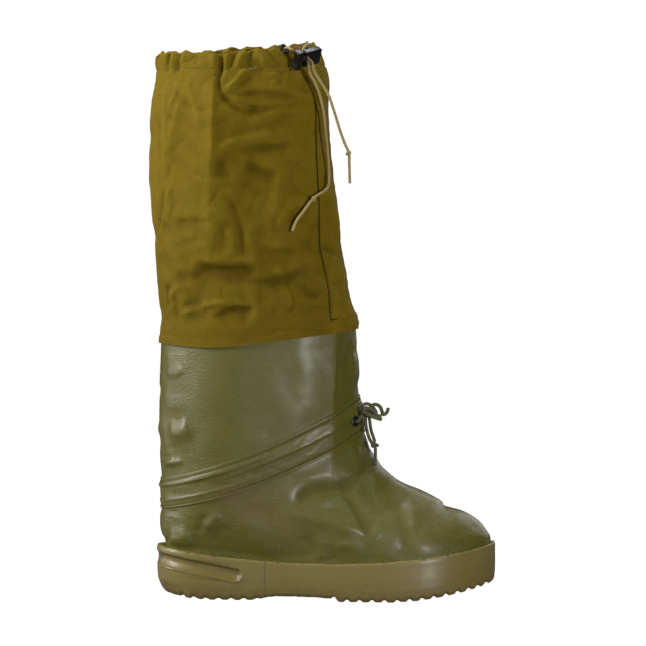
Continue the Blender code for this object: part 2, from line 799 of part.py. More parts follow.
# Routes of the loose lace, from the centre of the bow knot.
LACE_EAR = (
    (3.9, -0.7, 3.0), (5.9, -1.0, 4.7), (8.4, -1.0, 7.0), (11.4, -1.0, 7.7),
    (14.9, -1.0, 5.0), (16.4, -1.0, 0.2), (18.0, -1.0, -3.2), (20.3, -1.0, -1.9),
    (21.5, -1.0, 2.5),
)
LACE_END = ((3.9, -2.2, -2.8), (11.3, -3.4, -6.3), (17.3, -4.2, -8.8))
LACE_DROP_OUTER = (
    (-0.9, -1.2, -6.4), (-0.1, -1.4, -14.8), (2.5, -1.8, -24.3), (4.9, -2.7, -29.3),
)
LACE_DROP_INNER = (
    (3.0, 0.6, -6.0), (4.5, 0.6, -16.5), (6.9, 0.4, -24.0), (8.2, -0.6, -27.5),
)
LACE_END_KNOT = (8.6, -1.0, -31.5)
LACE_TAIL = ((8.8, -1.8, -35.6), (8.8, -3.6, -44.4), (8.3, -6.2, -54.2))


def lace_knot_frame(upper):
    """Centre of the bow knot and the direction it faces."""
    column = column_at(upper[13], LACE_KNOT_X, -1)
    point, normal = on_rings(upper, column, LACE_KNOT_ROW)
    return point + normal * LACE_KNOT_OFF, normal


def make_lace(frames, upper, mat):
    """Bar between the instep eyelets, bow knot, ear, drops, knot and tail."""
    start = frames["eyelet_instep_outer"]
    end = frames["eyelet_instep_inner"]
    bar_off = FIT + 2.3 + 0.7 + LACE_D / 2.0
    bar = [off_cloth(start, -1.0), off_cloth(start, 4.2)]
    for step in (-0.6, 0.0, 0.6):
        point, normal = on_rings(upper, HALF + step, LACE_KNOT_ROW)
        bar.append(point + normal * bar_off)
    bar.extend((off_cloth(end, 4.2), off_cloth(end, -1.0)))
    tube("lace_bar", bar, LACE_D, mat, 3.2)

    knot, normal = lace_knot_frame(upper)
    blob("lace_knot", knot, LACE_KNOT_SIZE, normal, mat)
    blob("lace_end_knot", knot + Vector(LACE_END_KNOT), END_KNOT_SIZE, normal, mat)
    for name, route, spacing in (
            ("lace_ear", LACE_EAR, 3.2), ("lace_end", LACE_END, 6.0),
            ("lace_drop_outer", LACE_DROP_OUTER, 5.0),
            ("lace_drop_inner", LACE_DROP_INNER, 5.0),
            ("lace_tail", LACE_TAIL, 6.0)):
        tube(name, [knot + Vector(point) for point in route], LACE_D, mat, spacing)


# --------------------------------------------------------------------- build


def build():
    clear_scene()
    rubber = material("sole rubber", (0.20, 0.16, 0.05), 0.5)
    coated = material("coated cloth", (0.16, 0.17, 0.04), 0.42)
    canvas = material("canvas", (0.27, 0.20, 0.04), 0.85)
    felt = material("insole board", (0.10, 0.09, 0.07), 0.9)
    black = material("black fittings", (0.02, 0.02, 0.022), 0.45)
    elastic = material("drawcord", (0.42, 0.33, 0.14), 0.8)
    lace = material("lace", (0.09, 0.09, 0.05), 0.85)

    upper = upper_rings()
    shaft = shaft_rings(upper)
    make_outsole(upper, rubber)
    make_insole(upper, felt)
    make_upper(upper, coated)
    make_shaft(shaft, canvas)
    make_band(upper, coated)

    frames = {seat.name: seat_frame(seat, upper, shaft) for seat in SEATS}
    make_eyelets(frames, black)
    make_lock(black)
    make_drawcord(frames, elastic)
    make_lace(frames, upper, lace)


build()
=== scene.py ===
"""Looks of a tall rubber overshoe with a canvas gaiter, for a right foot.

Laid out as an add-on: one operator for each piece or group of like pieces, one
for the stage, and a panel in the 3D view's sidebar. Run as a script it builds
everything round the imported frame. Tables are in millimetres: X forward to the
toe, -Y to the outer side of the foot, Z up from the ground.
"""

from collections import namedtuple
from math import pi, radians

import bmesh
import bpy
import numpy as np
from bpy.props import FloatProperty, FloatVectorProperty, PointerProperty
from mathutils import Matrix, Vector


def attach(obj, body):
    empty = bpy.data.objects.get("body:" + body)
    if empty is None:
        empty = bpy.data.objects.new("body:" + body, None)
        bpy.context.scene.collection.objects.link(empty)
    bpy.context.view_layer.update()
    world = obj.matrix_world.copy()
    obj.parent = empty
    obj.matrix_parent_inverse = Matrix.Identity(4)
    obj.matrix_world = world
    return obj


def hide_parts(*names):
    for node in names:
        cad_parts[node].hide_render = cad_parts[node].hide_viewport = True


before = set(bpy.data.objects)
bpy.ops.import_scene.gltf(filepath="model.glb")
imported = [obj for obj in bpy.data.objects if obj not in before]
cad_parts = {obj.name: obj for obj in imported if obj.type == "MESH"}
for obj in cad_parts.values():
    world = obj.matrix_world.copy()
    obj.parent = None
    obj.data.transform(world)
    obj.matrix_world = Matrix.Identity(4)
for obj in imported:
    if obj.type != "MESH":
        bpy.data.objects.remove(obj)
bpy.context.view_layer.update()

bl_info = {
    "name": "Rubber overshoe",
    "version": (1, 0, 0),
    "blender": (4, 5, 0),
    "location": "3D View > Sidebar > Overshoe",
    "description": "Builds a tall rubber overshoe with a gathered canvas shaft",
    "category": "Add Mesh",
}

MM = 0.001
FIT = 0.3                   # gap between pieces that meet
COVER = FIT + 0.1           # and of a skin laid over another
CLOTH = 1.8                 # wall of the coated-cloth upper
CANVAS = 1.5                # wall of the shaft
HEM_THICK = 3.2             # wall of the collar's doubled hem
UPPER_HALF = 150            # columns of a skin on each side of the boot
SHAFT_HALF = 170
SOLE_HALF = 300
ROUND = 180.0               # an edge angle that leaves nothing sharp
CLOSE = 2.0                 # first and last columns nearer than this are one
MERGE = 0.000004            # points nearer than this, in metres, are one

# --------------------------------------------------------------- ring tables

# A ring is one closed section round the boot, from its back point along the
# outer side to its front point and back along the inner side.
Ring = namedtuple("Ring", "back_x back_z front_x front_z sag "
                          "heel waist ball toe back_len front_len last")
STATIONS = (0.0, 0.35, 0.70, 1.0)

UPPER = (
    Ring(-154.5, 12.8, 167.0, 27.3,    0.0, 44.5, 40.5, 58.0, 49.0,  50,  76, 1.0),
    Ring(-156.0, 52.0, 169.0, 54.0,   16.0, 45.5, 42.5, 60.0, 50.0,  50,  76, 1.0),
    Ring(-156.6, 57.0, 168.6, 59.0,   15.8, 46.0, 43.5, 60.5, 49.5,  52,  76, 1.0),
    Ring(-159.0, 61.0, 164.5, 65.5,   15.5, 47.5, 45.0, 61.0, 49.0,  54,  76, 0.9),
    Ring(-161.0, 64.5, 157.0, 74.5,   15.0, 48.5, 46.5, 61.0, 48.5,  56,  76, 0.8),
    Ring(-162.0, 68.0, 142.0, 83.5,   14.5, 49.5, 48.0, 60.0, 47.5,  58,  74, 0.7),
    Ring(-162.4, 71.0, 129.5, 87.3,   14.0, 50.0, 49.0, 59.0, 46.5,  60,  72, 0.6),
    Ring(-162.0, 74.0, 122.5, 89.5,   13.5, 50.5, 50.0, 58.0, 46.0,  62,  72, 0.5),
    Ring(-162.0, 76.5, 118.5, 95.0,   13.0, 51.0, 51.0, 57.0, 45.0,  64,  72, 0.4),
    Ring(-162.0, 79.0,  99.0, 105.5,  12.5, 51.5, 52.0, 54.0, 42.5,  66,  70, 0.3),
    Ring(-162.0, 82.0,  75.0, 115.0,  12.0, 52.0, 53.0, 51.5, 40.0,  68,  68, 0.2),
    Ring(-161.0, 84.5,  56.0, 135.0,  11.5, 52.5, 54.0, 50.0, 37.0,  70,  68, 0.1),
    Ring(-160.3, 87.0,  42.7, 162.0,  11.0, 53.0, 55.0, 50.0, 35.0,  72,  70, 0.0),
    Ring(-160.3, 103.,  40.2, 181.0,  11.0, 54.0, 57.0, 52.0, 37.0,  76,  70, 0.0),
    Ring(-160.3, 120.,  36.6, 202.0,  11.0, 55.0, 59.0, 54.0, 39.0,  80,  68, 0.0),
    Ring(-162.2, 150.,  37.6, 220.0,  10.0, 56.0, 60.5, 56.0, 42.0,  84,  64, 0.0),
    Ring(-162.4, 198.,  36.2, 242.0,   8.0, 58.0, 62.0, 58.0, 45.0,  86,  60, 0.0),
    Ring(-161.0, 247.,  34.2, 262.0,   7.0, 59.0, 62.5, 59.0, 47.0,  88,  60, 0.0),
    Ring(-160.6, 264.,  34.2, 278.0,   6.5, 59.0, 62.5, 59.0, 47.0,  88,  60, 0.0),
)
BAND_ROWS = (12, 14)        # the ankle channel lies between these rings
HEM_ROWS = (17.3, 18.0)     # the shaft's two lowest sections lie on these
HEM_NEAR = (17.25, 17.35, 17.95, 18.0)

SHAFT = (
    Ring(-160.2, 278.,  30.0, 291.0,   6.0, 61.6, 65.3, 60.6, 47.0,  88,  60, 0.0),
    Ring(-163.0, 295.,  26.5, 308.0,   5.0, 62.0, 65.5, 60.0, 46.0,  88,  60, 0.0),
    Ring(-166.0, 333.,  22.5, 342.0,   3.0, 62.5, 65.5, 60.0, 45.0,  88,  60, 0.0),
    Ring(-170.0, 374.,  18.0, 377.0,   2.0, 63.0, 65.5, 60.0, 45.0,  88,  62, 0.0),
    Ring(-172.0, 416.,  13.0, 415.0,   1.0, 63.0, 65.5, 60.0, 45.0,  88,  62, 0.0),
    Ring(-173.0, 452.,   8.5, 452.0,   0.0, 62.0, 64.5, 59.0, 45.0,  88,  62, 0.0),
    Ring(-171.0, 488.,   6.5, 488.0,   0.0, 59.0, 61.5, 57.0, 44.0,  86,  62, 0.0),
    Ring(-167.5, 508.,   7.5, 510.0,   0.0, 56.0, 58.5, 55.0, 43.0,  84,  60, 0.0),
    Ring(-164.8, 523.,   3.0, 528.0,   0.0, 53.5, 56.0, 52.5, 41.0,  82,  58, 0.0),
    Ring(-163.2, 535.,  -3.5, 543.5,   0.0, 52.0, 54.0, 50.5, 39.0,  80,  56, 0.0),
    Ring(-161.8, 542.,  -9.5, 552.0,   0.0, 51.0, 53.0, 49.5, 38.0,  80,  56, 0.0),
)
COLLAR_TILT = (0, 0, 0, 0, 0, 0, 0, 3.0, 6.5, 8.0, 8.5)
PLEAT_DEEP = (0, 0, 0, 0, 0, 0, 0, 1.0, 5.0, 10.0, 12.0)
PLEAT_X = -27.0             # pleat between the two collar eyelets
PLEAT_WIDE = 9.0

HEEL_X = -165.0
TOE_X = 173.6
TOE_IN = 5.0                # how far the toe leans to the inner side
WAIST_IN = 3.0              # and the waist to the outer side
RIM_BACK_Z = 52.0
RIM_FRONT_Z = 54.0
RIM_SAG = 16.0              # of the sole's rim between heel and toe
SOLE = Ring(HEEL_X, 0.0, TOE_X, 0.0, 0.0, 49.5, 46.5, 64.0, 54.0, 56, 80, 1.0)

# Heights along the sole: X, ground line, floor of the tub.
LEVEL_X = (-164, -150, -130, -110, -66, -54, -38, -8, 11, 16, 72, 95, 120, 150, 173)
GROUND_Z = (5.5, 3.6, 1.2, 0.0, 0.0, 3.4, 4.4, 4.0, 2.8, 0.0, 0.0, 1.8, 5.0, 9.8, 14.0)
FLOOR_Z = (13.5, 12.5, 12.0, 11.5, 11.5, 12.0, 12.5, 12.5, 11.5, 11.0, 11.0, 12.0,
           15.5, 22.0, 27.0)

# Wall of the sole: share of its height, inset all round, inset at the heel.
WALL_SHARE = (0.0, 0.05, 0.10, 0.28, 0.50, 0.80, 0.90, 0.96, 1.0)
WALL_INSET = (3.4, 1.8, 1.0, 0.2, 0.0, 0.1, 0.0, 0.2, 1.2)
WALL_HEEL = (8.0, 6.0, 4.5, 1.0, 0.4, 0.6, -0.2, 0.1, 1.4)

LUG_PITCH = 12.3
TOE_PITCH = 9.3
TOE_PITCH_X = 125.0         # where the lugs start to come closer together
# Runs of tread grooves: X of the first, X of the end, half a groove's length.
LUG_RUNS = ((-138.6, -62.0, 4.4), (11.4, 168.0, 3.5))
LUG_DEEP = 3.8              # depth of the tread's grooves underneath
LUG_SIDE = 2.3              # and where they run out through the side
HEEL_LUG_SIDE = 1.7         # the same for the heel's grooves
TREAD_SPLIT_X = -30.0       # between the heel's grooves and the others
HEEL_FRONT_X = -96.0        # behind it the wall takes the heel's shape
HEEL_BACK_X = -128.0        # and behind this its lower part does so too

# Cable slot round the heel: X along the side, and height of its centre line.
SLOT_X = (-166.0, -157.0, -119.0, -86.0)
SLOT_Z = (39.6, 38.2, 31.7, 25.0)
SLOT_HALF = 6.2             # half its height
SLOT_DEEP = 4.2
SLOT_FRONT_X = -78.0        # nothing of it lies ahead of this
SLOT_BACK_X = -159.0        # and behind this it runs shallow round the heel
MOULD_SEAM_X = -56.0
# Where rubber squeezed out over the rim, and where it left small pits, whose shade is painted as
# dark beads.
RIM_FLASH = (-147, -131, -121, -106, -56.5, -54, -45, -34, -21, -8, 8, 19, 34, 50, 62,
             84, 97, 113, 126, 139, 145, 155)
RIM_PITS = (-147, -132, -122, -107, -44, -20, 60, 84, 99.5, 123, 137, 145, 160)

# ------------------------------------------------------------------ fittings

# Eyelet: centre, and the way it faces.
Eyelet = namedtuple("Eyelet", "at facing")
INSTEP_OUTER = Eyelet((33.02, -21.42, 174.74), (0.740, -0.668, 0.074))
INSTEP_INNER = Eyelet((33.02, 21.42, 174.74), (0.740, 0.668, 0.074))
COLLAR_BACK = Eyelet((-37.16, -39.91, 540.68), (0.680, -0.646, 0.346))
COLLAR_FRONT = Eyelet((-15.49, -21.86, 545.09), (0.312, -0.671, 0.673))
# Turned section of an eyelet: radius, and height above its seat.
EYELET_SECTION = (
    (2.45, -1.6), (2.9, -1.6), (2.9, 0.3), (5.3, 0.3), (5.6, 0.5), (5.55, 0.85),
    (5.1, 1.25), (4.4, 1.5), (3.7, 1.5), (3.0, 1.25), (2.55, 0.7), (2.35, 0.0),
)

CORD_D = 2.8                # elastic drawcord
LACE_D = 3.0                # instep lace
DRAWCORD_FRONT = (
    (-15.2, -21.2, 544.4), (-14.2, -24.5, 547.8), (-13.5, -31.6, 546.6),
    (-15.9, -38.5, 544.8), (-18.0, -43.5, 541.2), (-18.4, -45.9, 537.7),
    (-18.1, -48.3, 535.2), (-15.5, -50.7, 532.5), (-12.6, -53.3, 529.4),
    (-9.4, -54.4, 525.6), (-7.2, -53.4, 517.4), (-2.0, -50.5, 508.9), (5.9, -47.5, 496.1),
    (11.8, -44.0, 479.8), (17.4, -41.0, 461.9), (22.2, -38.5, 448.9),
    (26.3, -37.0, 439.1), (26.9, -36.0, 427.4), (27.4, -35.5, 409.7),
)
DRAWCORD_BACK = (
    (-37.8, -39.3, 540.3), (-34.4, -42.5, 542.1), (-29.6, -45.4, 539.8),
    (-24.5, -44.0, 537.0), (-20.2, -43.9, 534.8), (-18.8, -46.0, 532.6),
    (-16.2, -48.4, 529.9), (-13.2, -51.1, 526.8),
    (-13.0, -51.4, 522.0), (-11.5, -50.0, 515.3), (-6.3, -47.0, 506.4), (-2.2, -43.0, 495.0),
    (0.7, -39.5, 483.4), (2.5, -36.5, 471.6), (4.9, -33.0, 447.3),
    (6.4, -31.5, 431.2), (6.9, -31.5, 414.9), (5.9, -33.5, 406.9),
    (2.0, -38.5, 401.7), (-8.3, -51.0, 393.7), (-18.5, -58.5, 380.0),
    (-24.8, -62.0, 371.1), (-28.7, -64.5, 361.3),
)
KNOT_FRONT_AT = (26.3, -37.0, 439.1)
KNOT_BACK_AT = (-8.3, -51.0, 393.7)

BOW_AT = (44.07, -18.36, 182.81)        # centre of the bow knot
# Lace routes from the bow's centre.
LACE_OUTER = (
    (-11.5, -2.6, -8.1), (-8.2, -5.6, -7.7), (-5.0, -3.6, -3.0), (-1.0, -1.6, 0.4),
    (-0.4, -0.4, -2.6), (-0.9, -1.2, -6.4), (-0.1, -1.4, -14.8), (2.5, -1.8, -24.3),
    (5.4, -2.4, -29.6), (7.8, -1.2, -32.2), (8.8, -1.8, -35.6), (8.8, -3.6, -44.4),
    (8.5, -5.6, -51.8),
)
LACE_INNER = (
    (-11.5, 39.4, -8.1), (-7.6, 42.4, -7.7), (-2.6, 32.0, -1.4), (-0.4, 23.5, 1.7),
    (0.2, 18.4, 2.1), (0.6, 10.0, 1.6), (1.4, 4.2, 0.6), (2.4, 1.4, -2.2),
    (3.0, 0.6, -6.0), (4.5, 0.6, -16.5), (6.9, 0.4, -24.0), (8.4, -0.4, -28.6),
)
# Strands of the bow: diameter and route, from the bow's centre.
BOW_STRANDS = (
    # the arch over the knot
    (3.4, ((-5.6, -1.6, 0), (-5.4, -3, 4.5), (-2.9, -3.4, 8.2), (1, -3.2, 9.2),
          (4.9, -2.4, 7.2), (7.9, -1, 3.7), (10, 1, 0))),
    # the second loop and the ear that curls up from it
    (3.6, ((2.4, -1, 2.3), (4.5, -2.8, 6.4), (8.8, -3.6, 8.6), (13.1, -3.4, 6.6),
          (15.1, -2.6, 2.5), (16.3, -1.6, -1.4), (18.8, -1, -0.8), (20.9, -1, 1.8),
          (21.5, -1, 4.9))),
    # the strand laid across
    (3.3, ((-5.6, -3.6, -0.4), (-1.7, -4.6, 3.1), (2.6, -5, 4.4), (6.3, -4.8, 2.1),
          (10.2, -4, -1.9), (14.5, -3, -3.1))),
    # the loose end
    (4.2, ((-4.2, -5.8, 1.8), (2, -6.8, -1.6), (8.6, -6.4, -4.1), (14.9, -5.6, -6.1))),
    # the turn round the knot
    (3.2, ((-6.2, 0, -1.8), (-3.3, -5.6, 2.5), (-0.3, -5.2, 5.7), (2, -2, 3.3), (0.4, 1.5, -1),
          (-3.5, 1, -2.9))),
    # a strand behind
    (3.4, ((-4.4, 2, 5.1), (0.6, 2.6, 2.1), (5.5, 2.4, -0.8), (11.6, 1.4, -3.1))),
)
END_KNOT_AT = (8.6, -1.0, -31.5)        # from the bow's centre

# ------------------------------------------------------------ listed folds

# A fold lies on one face of the boot: outer and inner are read in X and Z, front
# and back in Y and Z. A valley sinks and a ridge rises on its path. A step lowers
# the cloth on the left of its path, which is the front side of a path that runs
# down the outer face, and recovers slowly; with a depth below zero it raises the
# cloth there. A corner lifts the path and lets the cloth run down flat on both
# sides. Creases and pinches are a valley and a ridge that come to a sharp line.
Fold = namedtuple("Fold", "face kind width depth path")


def on_face(face, *rows):
    """Folds of one face; a row is a kind, a width, a depth and then the path."""
    return [Fold(face, kind, width, depth, path) for kind, width, depth, *path in rows]


SHAFT_FOLDS = (*on_face(
    "outer",
    ("step", 3, 1.8, (-142, 410), (-150, 396), (-155, 378), (-158, 355)),
    ("ridge", 4, 1, (-129, 513), (-137, 490), (-146, 460), (-150, 431)),
    ("corner", 24, 4.8, (-107, 525), (-106, 499), (-105, 470), (-106, 441), (-108, 402),
     (-111, 363), (-114, 332)),
    ("corner", 11, 1.9, (-103, 517), (-103, 470), (-103, 442), (-101, 415)),
    ("step", 3.5, 1.6, (-103, 515), (-103, 490), (-104, 460), (-103, 441), (-105, 406)),
    ("valley", 2.6, 2.4, (-99, 533), (-99, 519), (-101, 505), (-98, 493)),
    ("valley", 3, 2.2, (-101, 496), (-92, 488), (-84, 481), (-76, 477)),
    ("ridge", 3.5, 2.4, (-95, 496), (-86, 505), (-77, 515), (-72, 523)),
    ("step", 4, 2.2, (-21, 494), (-36, 497), (-53, 498), (-70, 498), (-86, 494)),
    ("step", 4, 2.4, (-19, 491), (-29, 488), (-46, 484), (-62, 484), (-80, 486)),
    ("ridge", 5, 1.8, (-76, 464), (-59, 471), (-41, 479), (-20, 487)),
    ("ridge", 4, 2, (-103, 436), (-92, 444), (-80, 449), (-64, 452), (-45, 454)),
    ("step", 3.5, 3.2, (-25, 450), (-41, 448), (-57, 447), (-70, 445), (-82, 442)),
    ("step", 7, 3.4, (-40, 420), (-55, 423), (-65, 427), (-77, 431)),
    ("crease", 1.6, 1.1, (-37, 432), (-23, 427), (-8, 417)),
    ("crease", 1.6, 0.9, (-33, 442), (-21, 437), (-8, 430)),
    ("valley", 8, 1.6, (-102, 433), (-98, 421), (-94, 410)),
    ("crease", 2.6, 2, (-96, 402), (-89, 390), (-83, 376), (-79, 361), (-78, 345), (-76, 332)),
    ("ridge", 6, 0.8, (-71, 371), (-70, 353), (-70, 337)),
    ("ridge", 6, 1.4, (-89, 365), (-86, 349), (-87, 335)),
    ("pinch", 3, 2.2, (-154, 517), (-153, 490), (-153, 460), (-153, 426), (-156, 410)),
    ("crease", 2.6, 2.2, (-156, 406), (-156, 392), (-159, 376), (-162, 361)),
    ("ridge", 3, 1.6, (-150, 402), (-151, 384), (-155, 367)),
    ("pinch", 2.8, 1.9, (-141, 515), (-142, 501), (-147, 486), (-151, 472)),
    ("pinch", 3, 1.7, (-132, 509), (-126, 492), (-120, 474), (-116, 456)),
    ("step", 4, 2.4, (-103, 372), (-119, 374), (-133, 374), (-148, 372)),
    ("crease", 1.8, 1, (-105, 353), (-119, 354), (-135, 350), (-148, 345)),
    ("step", 7, 5.6, (-62, 328), (-80, 328), (-94, 327), (-109, 328), (-125, 332)),
    ("step", 5, 3.8, (-14, 330), (-23, 324), (-37, 319), (-55, 315), (-74, 313)),
    ("valley", 9, 1.6, (-105, 320), (-75, 318), (-36, 322)),
    ("step", 4, 2.2, (-25, 346), (-37, 344), (-49, 344), (-62, 348)),
    ("pinch", 2, 0.9, (-46, 362), (-37, 373), (-29, 384), (-20, 398)),
    ("valley", 4, 1.6, (-36, 365), (-29, 376), (-20, 388)),
    ("pinch", 2.2, 0.9, (-24, 339), (-14, 346), (-2, 353)),
    ("valley", 4, 1.1, (0, 349), (10, 343), (14, 335)),
    ("pinch", 1.4, 0.9, (-32, 305), (-25, 313), (-18, 322)),
    ("valley", 3.5, 1.5, (-20, 309), (-12, 302), (-1, 297)),
    ("step", 4, 3, (-64, 287), (-80, 288), (-94, 286), (-107, 277)),
    ("ridge", 4, 1.8, (-142, 276), (-127, 286), (-109, 291), (-82, 292)),
    ("crease", 1.8, 2, (-154, 312), (-152, 298), (-152, 285)),
    ("crease", 1.6, 1.6, (-145, 300), (-144, 285), (-142, 269)),
    ("valley", 5, 1.7, (-144, 318), (-131, 316), (-117, 320)),
    ("valley", 3.5, 1.7, (-137, 292), (-127, 288), (-117, 292)),
    ("ridge", 3, 1.3, (-149, 294), (-146, 304), (-137, 308)),
    ("pinch", 2, 1.3, (5, 345), (16, 332), (20, 314), (21, 292)),
    ("pinch", 2.4, 1.1, (8, 396), (16, 376), (20, 351)),
    ("ridge", 3, 1, (22, 294), (29, 277)),
    ("crease", 2, 1.5, (-38, 520), (-40, 511), (-42, 501)),
    ("valley", 6, 2, (-8, 519), (-14, 505), (-19, 496)),
), *on_face(
    "front",
    ("valley", 9, 1.5, (-14, 470), (-6, 430), (2, 395)),
    ("valley", 10, 1.7, (10, 400), (2, 360), (-8, 325)),
    ("ridge", 8, 1.0, (14, 470), (16, 430), (12, 390)),
), *on_face(
    "inner",
    ("step", 7, 4.6, (-30, 545), (-34, 515), (-36, 480), (-32, 446)),
    ("valley", 9, 3.6, (-140, 500), (-112, 486), (-80, 480), (-46, 486)),
    ("ridge", 10, 2.4, (-130, 452), (-100, 462), (-66, 466)),
    ("valley", 9, 3.8, (-22, 420), (-52, 410), (-84, 412), (-114, 424)),
    ("valley", 5, 2.4, (-60, 400), (-66, 378), (-72, 352)),
    ("valley", 9, 4.2, (-10, 330), (-44, 320), (-80, 318), (-116, 328)),
    ("ridge", 8, 2.0, (-130, 300), (-98, 292), (-62, 296)),
    ("valley", 6, 2.0, (-40, 282), (-66, 288), (-96, 284)),
), *on_face(
    "back",
    ("valley", 9, 1.2, (-20, 470), (-4, 455), (16, 462)),
    ("valley", 10, 1.2, (22, 372), (0, 360), (-24, 368)),
    ("ridge", 8, 0.7, (-16, 420), (4, 414), (22, 420)),
))
# Puckers of the drawn collar, from its rim down.
COLLAR_FOLDS = (*on_face(
    "outer",
    ("valley", 2.4, 2.4, (-151, 542), (-153, 529), (-157, 516)),
    ("ridge", 2.4, 1.4, (-147, 542), (-148, 529), (-150, 516)),
    ("crease", 2.6, 3.8, (-140, 542), (-142, 529), (-147, 516)),
    ("ridge", 4, 1, (-134, 542), (-137, 529), (-139, 516)),
    ("valley", 3, 0.9, (-121, 542), (-122, 531), (-123, 523)),
    ("ridge", 4, 1.8, (-108, 544), (-106, 531), (-104, 517)),
    ("crease", 2.8, 4.4, (-99, 544), (-99, 531), (-99, 516)),
    ("ridge", 3, 1.5, (-91, 544), (-93, 531), (-94, 516)),
    ("crease", 2.2, 3.2, (-80, 545), (-86, 531), (-92, 518)),
    ("ridge", 3, 1.8, (-74, 545), (-79, 531), (-84, 517)),
    ("crease", 2.2, 2.8, (-65, 546), (-70, 533), (-74, 519)),
    ("ridge", 3, 2, (-64, 546), (-60, 533), (-53, 521)),
    ("crease", 2.2, 2.6, (-57, 546), (-49, 533), (-40, 521)),
    ("ridge", 2.6, 1.5, (-50, 546), (-42, 535), (-33, 523)),
    ("crease", 2.2, 2.2, (-40, 544), (-33, 533), (-28, 523)),
    ("valley", 3, 2, (-19, 544), (-16, 529), (-14, 515)),
    ("ridge", 3, 1.2, (-10, 542), (-6, 529), (-2, 515)),
),)

# The blunt corner down the front of the leg, which the cloth of the upper, the
# ankle channel and the shaft's hem share.
LEG_CORNER = (*on_face(
    "outer",
    ("corner", 14, 5.5, (10, 340), (11, 300), (11, 277), (11, 251), (11, 226), (10, 202),
     (8, 182), (7, 162), (8, 143), (8, 100)),
),)

UPPER_FOLDS = (*on_face(
    "outer",
    ("step", 4, 2, (13, 265), (13, 236), (12, 209), (9, 189)),
    ("ridge", 3, 1.4, (30, 261), (31, 244), (32, 224), (35, 205)),
    ("valley", 3, 1, (24, 261), (25, 244), (26, 224)),
    ("step", 2.5, -1.6, (-155, 218), (-142, 220), (-133, 226)),
    ("ridge", 9, 3.6, (-152, 59), (-139, 59), (-127, 64)),
    ("step", 2.5, -1.6, (-155, 130), (-144, 131)),
    ("ridge", 9, 3.8, (-151, 164), (-143, 165), (-135, 167), (-127, 170)),
    ("ridge", 5, 2, (-156, 242), (-144, 243), (-131, 246)),
    ("pinch", 1.4, 0.8, (-160, 199), (-144, 197), (-127, 198)),
    ("pinch", 1.4, 0.7, (-160, 193), (-146, 191), (-133, 193)),
    ("crease", 1.6, 0.9, (-160, 188), (-142, 186), (-127, 187)),
    ("crease", 2, 0.7, (-160, 183), (-148, 181), (-137, 183)),
    ("ridge", 3, 1.6, (-160, 131), (-146, 135), (-133, 136)),
    ("crease", 1.6, 0.9, (-160, 140), (-142, 141)),
    ("pinch", 1.4, 0.7, (-160, 80), (-150, 82), (-139, 78)),
    ("ridge", 4, 1.5, (-99, 86), (-106, 79), (-113, 69)),
    ("valley", 3.5, 1.5, (-115, 86), (-119, 76), (-122, 64)),
    ("valley", 6, 1.1, (-92, 74), (-102, 65), (-107, 56)),
    ("step", 7, 2.6, (20, 115), (25, 100), (32, 86), (39, 73), (47, 61)),
    ("ridge", 8, 3.6, (-30, 96), (-28, 89), (-18, 84), (-2, 81), (13, 78), (27, 72), (41, 64)),
    ("ridge", 6, 1.2, (8, 102), (0, 96), (-10, 93), (-21, 94)),
    ("valley", 7, 3.6, (39, 124), (29, 117), (19, 113), (3, 112), (-11, 109), (-20, 102),
     (-24, 93)),
    ("pinch", 1.6, 1.3, (43, 58), (51, 61), (54, 70), (56, 79), (61, 85)),
    ("crease", 1.4, 1.8, (20, 117), (21, 107), (24, 97)),
    ("ridge", 7, 1.2, (29, 112), (38, 102), (45, 88)),
    ("ridge", 4, 1.5, (4, 62), (0, 51), (-1, 39)),
    ("valley", 8, 1.4, (-18, 67), (-12, 54), (-10, 41)),
    ("ridge", 5, 1.2, (8, 52), (23, 55), (43, 54)),
    ("valley", 7, 1.4, (59, 119), (68, 102), (76, 88), (80, 72), (83, 52)),
    ("ridge", 5, 0.5, (88, 105), (89, 88), (91, 68)),
    ("crease", 3, 0.5, (115, 97), (121, 88), (130, 77)),
    ("valley", 5, 2.4, (45, 160), (44, 144), (40, 129), (31, 120)),
    ("ridge", 5, 1.2, (51, 129), (53, 115), (49, 103)),
    ("valley", 5, 0.4, (101, 94), (107, 80), (111, 62)),
    ("ridge", 8, 0.9, (-70, 68), (-59, 55), (-41, 48)),
    ("valley", 10, 1.2, (-80, 94), (-59, 88), (-41, 80)),
), *on_face(
    "front",
    ("valley", 6, 1.1, (-26, 240), (-8, 246), (12, 243)),
    ("valley", 7, 1.2, (22, 216), (2, 211), (-20, 215)),
    ("valley", 6, 1.2, (-24, 152), (-2, 147), (22, 152)),
    ("valley", 5, 0.9, (18, 130), (-2, 128), (-20, 132)),
), *on_face(
    "inner",
    ("step", 8, 4.5, (12, 270), (10, 240), (6, 208), (0, 178)),
    ("valley", 9, 3.2, (-24, 92), (-10, 103), (8, 110), (26, 116)),
    ("ridge", 9, 1.8, (-30, 100), (-14, 116), (6, 124)),
    ("ridge", 8, 2, (0, 88), (16, 80), (34, 68)),
    ("valley", 6, 1.8, (24, 116), (30, 98), (40, 78)),
    ("valley", 9, 2.0, (60, 114), (72, 96), (80, 74)),
    ("ridge", 7, 2.6, (-160, 170), (-140, 172), (-118, 176)),
    ("valley", 9, 2.4, (-160, 152), (-134, 152), (-104, 158)),
    ("ridge", 7, 1.8, (-150, 84), (-128, 76), (-112, 64)),
    ("valley", 12, 1.8, (-100, 236), (-70, 206), (-60, 170)),
), *on_face(
    "back",
    ("valley", 5, 1.1, (-26, 206), (0, 203), (26, 207)),
    ("ridge", 7, 1.1, (-26, 168), (0, 166), (26, 170)),
    ("valley", 8, 1.2, (-24, 152), (0, 154), (24, 151)),
))

